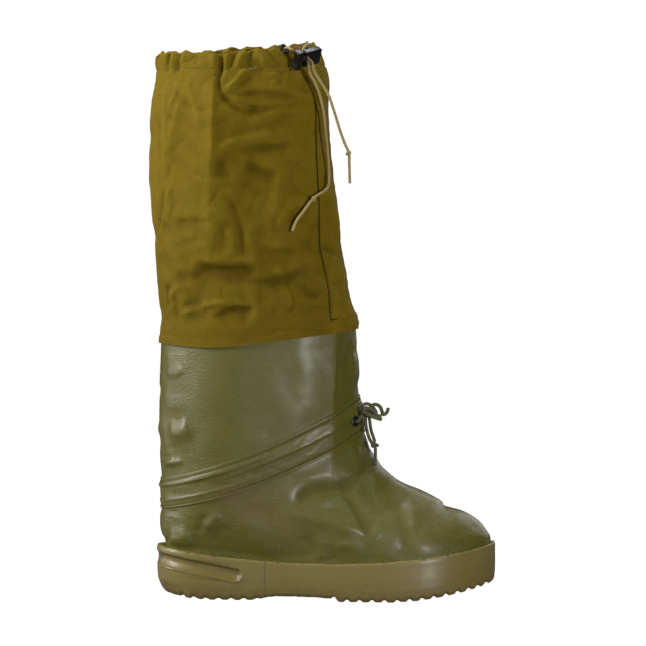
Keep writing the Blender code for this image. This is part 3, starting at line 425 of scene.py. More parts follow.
# Dusty places: face, centre, half length along X and Z, and strength.
Patch = namedtuple("Patch", "face x z wide tall strength")
UPPER_DUST = (
    Patch("outer", -62, 90, 42, 22, 0.9),
    Patch("outer", -30, 64, 40, 14, 0.5),
    Patch("outer", -90, 104, 26, 10, 0.6),
    Patch("outer", 90, 80, 34, 18, 0.35),
    Patch("outer", -154, 172, 12, 20, 0.5),
    Patch("inner", -50, 86, 46, 22, 0.8),
    Patch("inner", 90, 76, 30, 16, 0.5),
)


# ------------------------------------------------------------- plain helpers


def lerp(a, b, k):
    return a + (b - a) * k


def ease(k):
    """Ease from 0 to 1 as k runs from 0 to 1, for numbers and arrays."""
    k = np.clip(k, 0.0, 1.0)
    return k * k * (3.0 - 2.0 * k)


def catmull(table, row):
    """A table of numbers or rings, read smoothly at a fractional row."""
    last = len(table) - 1
    i = min(int(row), last - 1)
    k = row - i
    p0 = table[max(i - 1, 0)]
    p1 = table[i]
    p2 = table[i + 1]
    p3 = table[min(i + 2, last)]
    return 0.5 * (2.0 * p1 + (p2 - p0) * k + (2.0 * p0 - 5.0 * p1 + 4.0 * p2 - p3) * k ** 2
                  + (3.0 * p1 - p0 - 3.0 * p2 + p3) * k ** 3)


def smooth_path(points, per_span):
    """Points of a smooth curve through the given ones."""
    table = np.array(points, float)
    rows = np.linspace(0.0, len(points) - 1.0, (len(points) - 1) * per_span + 1)
    return np.array([catmull(table, row) for row in rows])


def sums(steps):
    """Sums of the steps so far, from zero."""
    return np.concatenate(([0.0], np.cumsum(steps)))


def run_of(line):
    """How far along a line of points each of them lies."""
    return sums(np.linalg.norm(np.diff(line, axis=0), axis=1))


def read_at(at, scale, table):
    """Rows of a table, read between its own where its scale has a value."""
    return np.array([np.interp(at, scale, column) for column in table.T]).T


def even_path(points, spacing):
    """Points at an even spacing along a smooth curve through the given ones."""
    fine = smooth_path(points, 24)
    along = run_of(fine)
    count = max(3, int(round(along[-1] / spacing)))
    return read_at(np.linspace(0.0, along[-1], count + 1), along, fine)


def ground(x):
    """Height of the tread's underside along the boot."""
    return np.interp(x, LEVEL_X, GROUND_Z)


def rim_height(x):
    """Height of the sole's rim along the boot."""
    u = (x - HEEL_X) / (TOE_X - HEEL_X)
    return lerp(RIM_BACK_Z, RIM_FRONT_Z, u) - RIM_SAG * 4.0 * u * (1.0 - u)


# --------------------------------------------------------------- ring shapes


def half_widths(ring, u):
    """Half the width of a ring at shares of its length, rounded at its ends."""
    length = ring.front_x - ring.back_x
    widths = (ring.heel, ring.waist, ring.ball, ring.toe)
    total = np.zeros_like(u)
    for i, at in enumerate(STATIONS):
        part = np.full_like(u, widths[i])
        for j, other in enumerate(STATIONS):
            if j != i:
                part *= (u - other) / (at - other)
        total += part
    for reach in (u * length / ring.back_len, (1.0 - u) * length / ring.front_len):
        close = np.clip(1.0 - reach, 0.0, 1.0)
        total *= np.sqrt(np.clip(1.0 - close ** 2, 0.0, 1.0))
    return total


def ring_points(ring, half):
    """Points of a ring, 2 * half of them, and a last one on the first."""
    length = ring.front_x - ring.back_x
    u = 0.5 - 0.5 * np.cos(pi * np.linspace(0.0, 1.0, 601))
    width = half_widths(ring, u)
    along = sums(np.hypot(np.diff(u) * length, np.diff(width)))
    even = np.arange(half + 1) / half
    ends = 0.5 - 0.5 * np.cos(pi * even)
    shares = np.interp(along[-1] * lerp(even, ends, 0.45), along, u)
    u = np.concatenate((shares, shares[-2::-1]))
    side = np.concatenate((-np.ones(half + 1), np.ones(half)))
    lean = TOE_IN * ease((u - 0.55) / 0.45) - WAIST_IN * np.sin(pi * u) ** 2
    x = ring.back_x + u * length
    y = side * half_widths(ring, u) + lean * ring.last
    z = lerp(ring.back_z, ring.front_z, u) - ring.sag * 4.0 * u * (1.0 - u)
    return np.stack((x, y, z), axis=1)


def control_rings(kind, half):
    """The upper's or the shaft's own rings as points."""
    upper = [ring_points(ring, half) for ring in UPPER]
    upper[0][:, 2] = np.interp(upper[0][:, 0], LEVEL_X, FLOOR_Z) + FIT
    upper[1][:, 2] = rim_height(upper[1][:, 0])
    share = 1.0 - np.abs(np.arange(2 * half + 1) - half) / half
    calm = ease((1.0 - share) / 0.16)[:, None]
    for _ in range(3):
        for i in range(4, 12):
            even = 0.25 * (upper[i - 1] + 2.0 * upper[i] + upper[i + 1])
            upper[i] = lerp(upper[i], even, calm)
    if kind == "upper":
        return np.array(upper)
    skin_rows = surface(np.array(upper), HEM_ROWS)
    near = surface(np.array(upper), HEM_NEAR)
    facing = outward(near)
    shaft = [skin_rows[0] + facing[0] * (COVER + CANVAS),
             skin_rows[1] + facing[2] * (COVER + CANVAS)]
    for ring, tilt, deep in zip(SHAFT, COLLAR_TILT, PLEAT_DEEP):
        points = ring_points(ring, half)
        points[:, 2] += tilt * (points[:, 1] / ring.waist) ** 3
        away = (points[:, 0] - PLEAT_X) / PLEAT_WIDE
        near_side = points[:, 1] < 0.0
        points[:, 1] += deep * np.exp(-away ** 2) * near_side
        shaft.append(points)
    return np.array(shaft)


def surface(rings, rows):
    """A smooth skin through rings of points, read at fractional rows. Below
    the first row, which lies in the tub, it is straight."""
    skin_points = []
    for row in rows:
        if row <= 1.0:
            skin_points.append(lerp(rings[0], rings[1], row))
        else:
            skin_points.append(catmull(rings[1:], row - 1.0))
    return np.array(skin_points)


def out_of(grid, up):
    """Outward directions of closed rings of points with a way up at each."""
    ring = grid[:, :-1]
    along = np.roll(ring, -1, axis=1) - np.roll(ring, 1, axis=1)
    normal = np.cross(along, up[:, :-1])
    normal /= np.maximum(np.linalg.norm(normal, axis=2, keepdims=True), 1e-9)
    return np.concatenate((normal, normal[:, :1]), axis=1)


def outward(grid):
    """Outward directions of a grid whose rows are closed rings."""
    return out_of(grid, np.gradient(grid, axis=0))


# ------------------------------------------------------------ relief of cloth


def face_view(grid, normal, face):
    """Two coordinates that a face is drawn in, and how much each point of
    the grid belongs to that face."""
    x, y, z = grid[..., 0], grid[..., 1], grid[..., 2]
    if face in ("outer", "inner"):
        aside = -1.0 if face == "outer" else 1.0
        return x, z, ease((aside * normal[..., 1] - 0.02) / 0.35)
    ahead = 1.0 if face == "front" else -1.0
    return y, z, ease((ahead * normal[..., 0] - 0.15) / 0.4)


def from_path(a, b, path):
    """Distance of points from a path, positive on its left, and the share of
    the path they are nearest to."""
    line = smooth_path(path, 6)
    along = run_of(line)
    best = np.full(a.shape, 1e9)
    side = np.ones(a.shape)
    share = np.zeros(a.shape)
    for i in range(len(line) - 1):
        start = line[i]
        run = line[i + 1] - start
        k = ((a - start[0]) * run[0] + (b - start[1]) * run[1]) / max(run @ run, 1e-9)
        k = np.clip(k, 0.0, 1.0)
        off_a = a - start[0] - k * run[0]
        off_b = b - start[1] - k * run[1]
        far = np.hypot(off_a, off_b)
        nearer = far < best
        best = np.where(nearer, far, best)
        side = np.where(nearer, np.sign(run[0] * off_b - run[1] * off_a), side)
        share = np.where(nearer, lerp(along[i], along[i + 1], k) / along[-1], share)
    return best * side, share


def fold_relief(grid, normal, folds):
    """Height that a list of folds gives each point of a grid."""
    height = np.zeros(grid.shape[:2])
    for fold in folds:
        a, b, belongs = face_view(grid, normal, fold.face)
        off, share = from_path(a, b, fold.path)
        fade = ease(np.minimum(share, 1.0 - share) / 0.28 + 0.12)
        fade = fade * belongs
        if fold.kind == "step":
            recovery = np.exp(-np.maximum(off, 0.0) / (5.0 * fold.width + 4.0))
            fall = ease(off / fold.width + 0.5) * recovery
            height -= fold.depth * fade * fall
            continue
        if fold.kind in ("valley", "ridge"):
            shape = np.exp(-(off / fold.width) ** 2)
        else:
            soft = 2.0 if fold.kind == "corner" else 0.7
            shape = np.exp(-np.hypot(off, soft) / fold.width)
        sign = -1.0 if fold.kind in ("valley", "crease") else 1.0
        height += sign * fold.depth * fade * shape
    return height


def leg_corner(grid, normal):
    """The leg's front corner, kept clear of the instep eyelet."""
    x, _, z = INSTEP_OUTER.at
    away = np.hypot(grid[..., 0] - x, grid[..., 2] - z) / 15.0
    return fold_relief(grid, normal, LEG_CORNER) * (1.0 - np.exp(-away ** 2))


def hollows(relief, reach=6):
    """Relief against its own surroundings: below zero in folds, above on
    crests."""
    flat = np.pad(relief, ((reach, reach), (0, 0)), mode="edge")
    flat = np.concatenate((flat[:, -reach - 1:-1], flat, flat[:, 1:reach + 1]), axis=1)
    for axis in (0, 1):
        total = np.cumsum(flat, axis=axis)
        total = np.concatenate((np.zeros_like(total.take([0], axis)), total), axis=axis)
        count = flat.shape[axis] - 2 * reach
        high = total.take(range(2 * reach + 1, 2 * reach + 1 + count), axis)
        flat = (high - total.take(range(count), axis)) / (2 * reach + 1)
    return relief - flat


def soft_waves(grid, seed, wavelength, terms=14):
    """Gentle irregular waves, about -1 to 1, from sines in mixed directions."""
    rng = np.random.default_rng(seed)
    total = np.zeros(grid.shape[:2])
    for _ in range(terms):
        way = rng.normal(size=3)
        way /= np.linalg.norm(way)
        rate = 2.0 * pi / (wavelength * rng.uniform(0.6, 1.5))
        total += np.sin(grid @ way * rate + rng.uniform(0.0, 2.0 * pi))
    return total / np.sqrt(terms)


def waves_of(grid, table):
    """Soft waves added up from rows of a seed, a wavelength and a height."""
    return sum(height * soft_waves(grid, seed, wavelength)
               for seed, wavelength, height in table)


def dust_field(grid, normal, patches):
    """How dusty a table of patches makes each point of a grid, 0 to 1."""
    total = np.zeros(grid.shape[:2])
    for patch in patches:
        a, b, belongs = face_view(grid, normal, patch.face)
        away = ((a - patch.x) / patch.wide) ** 2 + ((b - patch.z) / patch.tall) ** 2
        total += patch.strength * belongs * np.exp(-away)
    return np.clip(total, 0.0, 1.0)


# ------------------------------------------------------------- making objects


def finish_mesh(name, bm, mat, body, sharp):
    """Turn a bmesh in metres into an object that rides on a body."""
    mesh = bpy.data.meshes.new(name)
    bm.to_mesh(mesh)
    bm.free()
    mesh.shade_smooth()
    if sharp < ROUND:
        mesh.set_sharp_from_angle(angle=radians(sharp))
    mesh.materials.append(mat)
    made = bpy.data.objects.new(name, mesh)
    bpy.context.scene.collection.objects.link(made)
    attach(made, body)
    return made


def skin(name, grid, mat, marks=None, sharp=70.0):
    """An object whose surface is a grid of points, rows by columns. Its UV
    map is in metres along the columns and up the rows. Where the last column
    comes round to the first, the two are made one."""
    rows, columns = grid.shape[:2]
    if np.abs(grid[:, -1] - grid[:, 0]).max() < CLOSE:
        grid = np.concatenate((grid[:, :-1], grid[:, :1]), axis=1)
    bm = bmesh.new()
    bmesh.ops.create_grid(bm, x_segments=columns - 1, y_segments=rows - 1, size=0.5)
    mesh = bpy.data.meshes.new(name)
    bm.to_mesh(mesh)
    bm.free()
    flat = np.empty(len(mesh.vertices) * 3)
    mesh.vertices.foreach_get("co", flat)
    flat = flat.reshape(-1, 3)
    column = np.rint((flat[:, 0] + 0.5) * (columns - 1)).astype(int)
    row = np.rint((flat[:, 1] + 0.5) * (rows - 1)).astype(int)
    mesh.vertices.foreach_set("co", (grid[row, column] * MM).ravel())
    u = sums(np.linalg.norm(np.diff(grid, axis=1), axis=2).mean(axis=0)) * MM
    v = sums(np.linalg.norm(np.diff(grid, axis=0), axis=2).mean(axis=1)) * MM
    corner = np.empty(len(mesh.loops), int)
    mesh.loops.foreach_get("vertex_index", corner)
    uv = mesh.uv_layers.new(name="UVMap")
    pairs = np.stack((u[column[corner]], v[row[corner]]), axis=1)
    uv.data.foreach_set("uv", pairs.ravel())
    for key, values in (marks or {}).items():
        mark = mesh.attributes.new(key, "FLOAT", "POINT")
        mark.data.foreach_set("value", values[row, column].ravel().astype(np.float32))
    bm = bmesh.new()
    bm.from_mesh(mesh)
    bpy.data.meshes.remove(mesh)
    bmesh.ops.remove_doubles(bm, verts=bm.verts, dist=MERGE)
    bmesh.ops.recalc_face_normals(bm, faces=bm.faces)
    return finish_mesh(name, bm, mat, "boot", sharp)


def rope_grid(route, diameter, spacing=0.9, sides=14):
    """Grid of a round cord along a route, with rounded ends."""
    line = even_path(route, spacing)
    run = np.gradient(line, axis=0)
    run /= np.linalg.norm(run, axis=1, keepdims=True)
    side = np.cross(run[0], (0.2, 0.3, 0.93))
    side /= np.linalg.norm(side)
    radius = diameter / 2.0
    angles = np.linspace(0.0, 2.0 * pi, sides + 1)
    rounding = [(share, radius * 0.35 * (1.0 - share)) for share in (0.0, 0.55, 0.88)]
    rings = []
    for i, (point, way) in enumerate(zip(line, run)):
        side = side - way * (side @ way)
        side /= np.linalg.norm(side)
        other = np.cross(way, side)
        circle = (np.outer(np.cos(angles), side) + np.outer(np.sin(angles), other)) * radius
        if i == 0:
            rings.extend(point - way * out + circle * share for share, out in rounding)
        rings.append(point + circle)
        if i == len(line) - 1:
            rings.extend(point + way * out + circle * share
                         for share, out in reversed(rounding))
    return np.array(rings), line


def strand(name, grid, mat):
    """An object of a grid round a cord or a thread."""
    return skin(name, grid, mat, sharp=ROUND)


def joined(name, parts, replaced):
    """Join mesh objects into the first one under a new name."""
    bm = bmesh.new()
    for part in parts:
        bm.from_mesh(part.data)
    first = parts[0]
    bm.to_mesh(first.data)
    bm.free()
    for part in parts[1:]:
        bpy.data.objects.remove(part)
    first.name = name
    first.data.name = name
    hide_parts(*replaced)
    return first


def stand_on(at, way):
    """Matrix, in metres, that stands local Z on a point along a direction."""
    turn = Vector(way).to_track_quat("Z", "Y").to_matrix().to_4x4()
    return Matrix.Translation(Vector(at) * MM) @ turn


def beads(name, places, size, mat):
    """Many small oval beads in one object: stitches, flash, and painted shade of pits. A place
    is a point, the way it runs and the way it faces."""
    bm = bmesh.new()
    for point, way, up in places:
        along = Vector(way).normalized()
        face = Vector(up)
        face = (face - along * face.dot(along)).normalized()
        across = face.cross(along)
        turn = Matrix((along, across, face)).transposed().to_4x4()
        place = Matrix.Translation(Vector(point)) @ turn @ Matrix.Diagonal((*size, 1.0))
        bmesh.ops.create_icosphere(
            bm, subdivisions=1, radius=1.0, matrix=Matrix.Scale(MM, 4) @ place)
    return finish_mesh(name, bm, mat, "boot", sharp=ROUND)


# ------------------------------------------------------------------ materials


def group_of(name, inputs, outputs):
    """A new node group with its sockets."""
    made = bpy.data.node_groups.new(name, "ShaderNodeTree")
    for socket, kind, value in inputs:
        item = made.interface.new_socket(socket, in_out="INPUT", socket_type=kind)
        if value is not None:
            item.default_value = value
    for socket, kind in outputs:
        made.interface.new_socket(socket, in_out="OUTPUT", socket_type=kind)
    enter = made.nodes.new("NodeGroupInput")
    leave = made.nodes.new("NodeGroupOutput")
    return made, enter, leave


def feed(tree, socket, value):
    """Give a socket a number, a colour, a vector or another node's output."""
    if isinstance(value, (int, float)):
        socket.default_value = value
    elif isinstance(value, tuple):
        socket.default_value = (*value, 1.0) if socket.type == "RGBA" else value
    else:
        tree.links.new(value, socket)


def feed_all(tree, node, values):
    """Feed sockets named by keywords, whose underscores stand for spaces."""
    for name, value in values.items():
        feed(tree, node.inputs[name.replace("_", " ")], value)
    return node


def node_of(tree, kind, **values):
    """A new shader node of a kind with its sockets fed."""
    return feed_all(tree, tree.nodes.new("ShaderNode" + kind), values)


def math_node(tree, operation, *values):
    node = tree.nodes.new("ShaderNodeMath")
    node.operation = operation
    for socket, value in zip(node.inputs, values):
        feed(tree, socket, value)
    return node.outputs[0]


def noise_node(tree, vector, scale, detail=3.0):
    return node_of(tree, "TexNoise", Vector=vector, Scale=scale, Detail=detail,
                   Roughness=0.55).outputs["Fac"]


def stretch(tree, vector, size):
    return node_of(tree, "Mapping", Vector=vector, Scale=size).outputs["Vector"]


def remap(tree, value, low, high, to_low=0.0, to_high=1.0):
    return node_of(tree, "MapRange", Value=value, From_Min=low, From_Max=high,
                   To_Min=to_low, To_Max=to_high).outputs["Result"]


def mixed(tree, share, first, second, blend="MIX"):
    """Colour between two colours, which may be sockets or tuples."""
    node = tree.nodes.new("ShaderNodeMix")
    node.data_type = "RGBA"
    node.blend_type = blend
    return feed_all(tree, node, {"Factor": share, "A": first, "B": second}).outputs["Result"]


def toned(colour, *shares, lift=0.0):
    """A colour with each channel at a share of its own, and a little lift."""
    return tuple(channel * share + lift for channel, share in zip(colour, shares))


def weave_group():
    """Height of a plain weave and its loose threads, from a UV map in metres."""
    if "plain weave" in bpy.data.node_groups:
        return bpy.data.node_groups["plain weave"]
    made, enter, leave = group_of(
        "plain weave",
        (("UV", "NodeSocketVector", None), ("Threads per metre", "NodeSocketFloat", 900.0),
         ("Slub", "NodeSocketFloat", 0.5)),
        (("Height", "NodeSocketFloat"), ("Slubs", "NodeSocketFloat")))
    split = node_of(made, "SeparateXYZ", Vector=enter.outputs["UV"])
    waves = []
    for axis in ("X", "Y"):
        turns = math_node(made, "MULTIPLY", split.outputs[axis],
                          enter.outputs["Threads per metre"])
        waves.append(math_node(made, "SINE", math_node(made, "MULTIPLY", turns, pi)))
    plain = math_node(made, "MULTIPLY", waves[0], waves[1])
    wide = noise_node(made, stretch(made, enter.outputs["UV"], (90.0, 900.0, 1.0)), 1.0, 2.0)
    tall = noise_node(made, stretch(made, enter.outputs["UV"], (900.0, 90.0, 1.0)), 1.0, 2.0)
    slubs = math_node(made, "ADD", wide, tall)
    slubs = math_node(made, "SUBTRACT", slubs, 1.0)
    loud = math_node(made, "MULTIPLY", slubs, enter.outputs["Slub"])
    height = math_node(made, "ADD", math_node(made, "MULTIPLY", plain, 0.5), loud)
    made.links.new(height, leave.inputs["Height"])
    made.links.new(slubs, leave.inputs["Slubs"])
    return made


def cloud_group():
    """Broad and fine tone changes over a surface, from object coordinates."""
    if "tone clouds" in bpy.data.node_groups:
        return bpy.data.node_groups["tone clouds"]
    made, enter, leave = group_of(
        "tone clouds",
        (("Point", "NodeSocketVector", None), ("Size", "NodeSocketFloat", 1.0)),
        (("Broad", "NodeSocketFloat"), ("Fine", "NodeSocketFloat")))
    scaled = made.nodes.new("ShaderNodeVectorMath")
    scaled.operation = "SCALE"
    made.links.new(enter.outputs["Point"], scaled.inputs[0])
    made.links.new(enter.outputs["Size"], scaled.inputs["Scale"])
    broad = noise_node(made, scaled.outputs[0], 11.0, 3.0)
    fine = noise_node(made, scaled.outputs[0], 120.0, 4.0)
    made.links.new(remap(made, broad, 0.3, 0.7), leave.inputs["Broad"])
    made.links.new(remap(made, fine, 0.3, 0.7), leave.inputs["Fine"])
    return made


def placed(tree, group, **values):
    """A node group among the nodes of a material, with its inputs fed."""
    node = tree.nodes.new("ShaderNodeGroup")
    node.node_tree = group
    return feed_all(tree, node, values)


def blank(name, **looks):
    """A new material with constants on its shader's sockets, and its
    coordinates."""
    made = bpy.data.materials.new(name)
    made.use_nodes = True
    tree = made.node_tree
    shader = feed_all(tree, tree.nodes["Principled BSDF"], looks)
    return made, tree, shader, tree.nodes.new("ShaderNodeTexCoord")


def mark_node(tree, name):
    """A mark that the mesh keeps for each of its points."""
    node = tree.nodes.new("ShaderNodeAttribute")
    node.attribute_name = name
    return node.outputs["Fac"]


def bumped(tree, shader, height, distance, strength):
    node = node_of(tree, "Bump", Height=height, Distance=distance, Strength=strength)
    tree.links.new(node.outputs["Normal"], shader.inputs["Normal"])


def canvas_material(colour):
    """Proofed canvas: fine threads, slubs, darker low down, painted shade in hollows, and crests
    paler partly from wear and partly as painted highlight.
    """
    if "woven canvas" in bpy.data.materials:
        return bpy.data.materials["woven canvas"]
    made, tree, shader, place = blank("woven canvas", Roughness=0.8, Specular_IOR_Level=0.2)
    weave = placed(tree, weave_group(), UV=place.outputs["UV"],
                   Threads_per_metre=1300.0, Slub=0.9)
    clouds = placed(tree, cloud_group(), Point=place.outputs["Object"], Size=1.0)
    relief = mark_node(tree, "relief")
    dark = toned(colour, 0.50, 0.45, 0.3)
    pale = toned(colour, 1.16, 1.2, 1.5, lift=0.006)
    tone = mixed(tree, remap(tree, clouds.outputs["Broad"], 0.0, 1.0, 0.0, 0.35), colour, pale)
    # the canvas is darker towards the bottom and less so at the front
    tone = mixed(tree, remap(tree, mark_node(tree, "soil"), 0.0, 1.0, 0.0, 0.42), tone, dark)
    # painted shade darkens the hollows; the crests turn paler, partly as wear and partly as
    # painted highlight
    tone = mixed(tree, remap(tree, relief, 0.0, -1.2, 0.0, 0.6), tone, dark)
    tone = mixed(tree, remap(tree, relief, 0.0, 1.0, 0.0, 0.6), tone, pale)
    speck = remap(tree, weave.outputs["Slubs"], -0.35, 0.35, 0.86, 1.12)
    tone = mixed(tree, 1.0, tone, speck, "MULTIPLY")
    tree.links.new(tone, shader.inputs["Base Color"])
    bumped(tree, shader, weave.outputs["Height"], 0.00022, 0.55)
    return made


def grain_group():
    """Fine uneven grain that runs level round the boot, from object points."""
    if "level grain" in bpy.data.node_groups:
        return bpy.data.node_groups["level grain"]
    made, enter, leave = group_of("level grain", (("Point", "NodeSocketVector", None),),
                                  (("Height", "NodeSocketFloat"),))
    level = noise_node(made, stretch(made, enter.outputs["Point"], (300.0, 300.0, 1100.0)),
                       1.0, 2.0)
    round_grain = noise_node(made, enter.outputs["Point"], 1100.0, 2.0)
    made.links.new(math_node(made, "ADD", level, round_grain), leave.inputs["Height"])
    return made


def coated_material(colour, dust):
    """Rubber-coated cloth: satin, with the weave showing through as grain."""
    if "rubber-coated cloth" in bpy.data.materials:
        return bpy.data.materials["rubber-coated cloth"]
    made, tree, shader, place = blank("rubber-coated cloth", Specular_IOR_Level=0.8,
                                      Coat_Roughness=0.34)
    grain = placed(tree, grain_group(), Point=place.outputs["Object"])
    clouds = placed(tree, cloud_group(), Point=place.outputs["Object"], Size=1.3)
    relief = mark_node(tree, "relief")
    dusty = mark_node(tree, "dust")
    dark = toned(colour, 0.62, 0.62, 0.62)
    tone = mixed(tree, remap(tree, clouds.outputs["Broad"], 0.0, 1.0, 0.0, 0.3), colour, dark)
    # painted shade darkens the cloth in its hollows, where it also loses its coat's gloss
    tone = mixed(tree, remap(tree, relief, -0.05, -0.8, 0.0, 0.5), tone, dark)
    tree.links.new(remap(tree, relief, 0.0, -0.4, 0.7, 0.0), shader.inputs["Coat Weight"])
    share = math_node(tree, "MULTIPLY", dusty,
                      remap(tree, clouds.outputs["Fine"], 0.0, 1.0, 0.35, 1.0))
    tone = mixed(tree, share, tone, dust)
    speck = remap(tree, grain.outputs["Height"], 0.7, 1.3, 0.84, 1.16)
    tone = mixed(tree, 1.0, tone, speck, "MULTIPLY")
    tree.links.new(tone, shader.inputs["Base Color"])
    rough = remap(tree, grain.outputs["Height"], 0.7, 1.3, 0.42, 0.32)
    rough = math_node(tree, "ADD", rough, math_node(tree, "MULTIPLY", share, 0.12))
    rough = math_node(tree, "ADD", rough, remap(tree, relief, 0.0, -0.5, 0.0, 0.3))
    tree.links.new(rough, shader.inputs["Roughness"])
    bumped(tree, shader, grain.outputs["Height"], 0.0010, 0.6)
    return made


def rubber_material(colour, dust):
    """Moulded rubber: smooth, with dust low down, painted shade and highlight from the wall's
    tone mark, and a paler rim top.
    """
    if "moulded rubber" in bpy.data.materials:
        return bpy.data.materials["moulded rubber"]
    made, tree, shader, place = blank("moulded rubber", Specular_IOR_Level=0.6,
                                      Coat_Weight=0.5, Coat_Roughness=0.36)
    clouds = placed(tree, cloud_group(), Point=place.outputs["Object"], Size=1.6)
    relief = mark_node(tree, "relief")
    pale = toned(colour, 1.3, 1.3, 1.3, lift=0.01)
    dark = toned(colour, 0.5, 0.5, 0.5)
    warm = toned(colour, 1.04, 0.93, 0.82)
    tone = mixed(tree, remap(tree, clouds.outputs["Broad"], 0.2, 0.8), colour, warm)
    share = math_node(tree, "MULTIPLY", mark_node(tree, "dust"),
                      remap(tree, clouds.outputs["Fine"], 0.0, 1.0, 0.3, 1.0))
    tone = mixed(tree, share, tone, dust)
    # below zero the mark paints shade; above zero it paints the slot lip's highlight and makes
    # the rim's top paler
    tone = mixed(tree, remap(tree, relief, -0.1, -0.9, 0.0, 0.75), tone, dark)
    tone = mixed(tree, remap(tree, relief, 0.1, 0.9, 0.0, 0.5), tone, pale)
    tree.links.new(tone, shader.inputs["Base Color"])
    rough = remap(tree, clouds.outputs["Fine"], 0.0, 1.0, 0.34, 0.50)
    tree.links.new(rough, shader.inputs["Roughness"])
    grain = noise_node(tree, place.outputs["Object"], 900.0, 2.0)
    bumped(tree, shader, grain, 0.0002, 0.25)
    return made


def cord_material(name, colour, pitch):
    """Braided cord: two crossing sets of strands from its UV map."""
    if name in bpy.data.materials:
        return bpy.data.materials[name]
    made, tree, shader, place = blank(name, Roughness=0.75, Specular_IOR_Level=0.35,
                                      Sheen_Weight=0.1)
    split = node_of(tree, "SeparateXYZ", Vector=place.outputs["UV"])
    waves = []
    for operation in ("ADD", "SUBTRACT"):
        turn = math_node(tree, operation, split.outputs["X"], split.outputs["Y"])
        waves.append(math_node(tree, "SINE", math_node(tree, "MULTIPLY", turn, pitch * pi)))
    braid = math_node(tree, "MULTIPLY", waves[0], waves[1])
    dark = toned(colour, 0.6, 0.6, 0.6)
    tone = mixed(tree, remap(tree, braid, -0.8, 0.3), dark, colour)
    fuzz = noise_node(tree, place.outputs["Object"], 700.0)
    tone = mixed(tree, remap(tree, fuzz, 0.35, 0.75, 0.0, 0.35), tone, dark)
    tree.links.new(tone, shader.inputs["Base Color"])
    bumped(tree, shader, braid, 0.0003, 0.6)
    return made


def plain_material(name, colour, rough, metallic=0.0, grain=900.0, depth=0.0001, worn=None):
    """Hard fittings and thread: a fine grain and a slight change of tone."""
    if name in bpy.data.materials:
        return bpy.data.materials[name]
    made, tree, shader, place = blank(name, Metallic=metallic)
    clouds = placed(tree, cloud_group(), Point=place.outputs["Object"], Size=4.0)
    second = worn or toned(colour, 1.5, 1.5, 1.5, lift=0.004)
    tone = mixed(tree, remap(tree, clouds.outputs["Fine"], 0.3, 1.0, 0.0, 0.6), colour, second)
    tree.links.new(tone, shader.inputs["Base Color"])
    spread = remap(tree, clouds.outputs["Broad"], 0.0, 1.0, rough - 0.06, rough + 0.08)
    tree.links.new(spread, shader.inputs["Roughness"])
    bumped(tree, shader, noise_node(tree, place.outputs["Object"], grain), depth, 0.4)
    return made


# ----------------------------------------------------------------- properties


class OvershoeSettings(bpy.types.PropertyGroup):
    canvas_colour: FloatVectorProperty(
        name="Canvas", description="Colour of the shaft's canvas", subtype="COLOR",
        default=(0.270, 0.180, 0.004), min=0.0, max=1.0)
    coated_colour: FloatVectorProperty(
        name="Coated cloth", description="Colour of the upper", subtype="COLOR",
        default=(0.178, 0.162, 0.006), min=0.0, max=1.0)
    rubber_colour: FloatVectorProperty(
        name="Rubber", description="Colour of the moulded sole", subtype="COLOR",
        default=(0.312, 0.266, 0.084), min=0.0, max=1.0)
    dust_colour: FloatVectorProperty(
        name="Dust", description="Colour of the dust on cloth and rubber", subtype="COLOR",
        default=(0.220, 0.145, 0.030), min=0.0, max=1.0)
    cord_colour: FloatVectorProperty(
        name="Drawcord", description="Colour of the elastic drawcord", subtype="COLOR",
        default=(0.800, 0.600, 0.230), min=0.0, max=1.0)
    lace_colour: FloatVectorProperty(
        name="Lace", description="Colour of the instep lace", subtype="COLOR",
        default=(0.240, 0.240, 0.120), min=0.0, max=1.0)
    fold_depth: FloatProperty(
        name="Fold depth", description="How deep the hand-made folds are",
        default=1.0, min=0.0, max=1.5, subtype="FACTOR")
    camera_distance: FloatProperty(
        name="Camera distance", description="From the camera to the boot's middle",
        default=2.2, unit="LENGTH")


def settings():
    return bpy.context.scene.overshoe


def colour_of(name):
    return tuple(getattr(settings(), name))


def canvas_cloth():
    return canvas_material(colour_of("canvas_colour"))


def coated_cloth():
    return coated_material(colour_of("coated_colour"), colour_of("dust_colour"))


def sole_rubber():
    return rubber_material(colour_of("rubber_colour"), colour_of("dust_colour"))


# ------------------------------------------------------------------ operators


VIEW_WIDE = 0.646           # width of the view at the boot's middle, in metres
VIEW_MIDDLE = (0.001, 0.272)            # X and Z of its centre


class OVERSHOE_OT_camera(bpy.types.Operator):
    """Place the camera level with the middle of the boot's outer side"""
    bl_idname = "overshoe.camera"
    bl_label = "Camera"

    def execute(self, context):
        distance = settings().camera_distance
        data = bpy.data.cameras.new("camera")
        data.sensor_width = 36.0
        data.lens = data.sensor_width * distance / VIEW_WIDE
        data.clip_end = 50.0
        made = bpy.data.objects.new("camera", data)
        made.location = (VIEW_MIDDLE[0], -distance, VIEW_MIDDLE[1])
        made.rotation_euler = (radians(90.0), 0.0, 0.0)
        context.scene.collection.objects.link(made)
        context.scene.camera = made
        return {"FINISHED"}


def overhand_knot(name, at, way, diameter, size, mat, replaced):
    """A tied knot: one turn of cord wound over itself round the run."""
    t = np.linspace(0.0, 2.0 * pi, 25)
    ring = 1.0 + 0.42 * np.cos(1.5 * t)
    turns = np.stack((ring * np.cos(t), ring * np.sin(t), 0.62 * np.sin(1.5 * t)), axis=1)
    grid, _ = rope_grid(turns * size, diameter, 0.7, 12)
    place = np.array(stand_on(at, way))
    made = strand(name, grid @ place[:3, :3].T + place[:3, 3] / MM, mat)
    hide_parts(replaced)
    return made


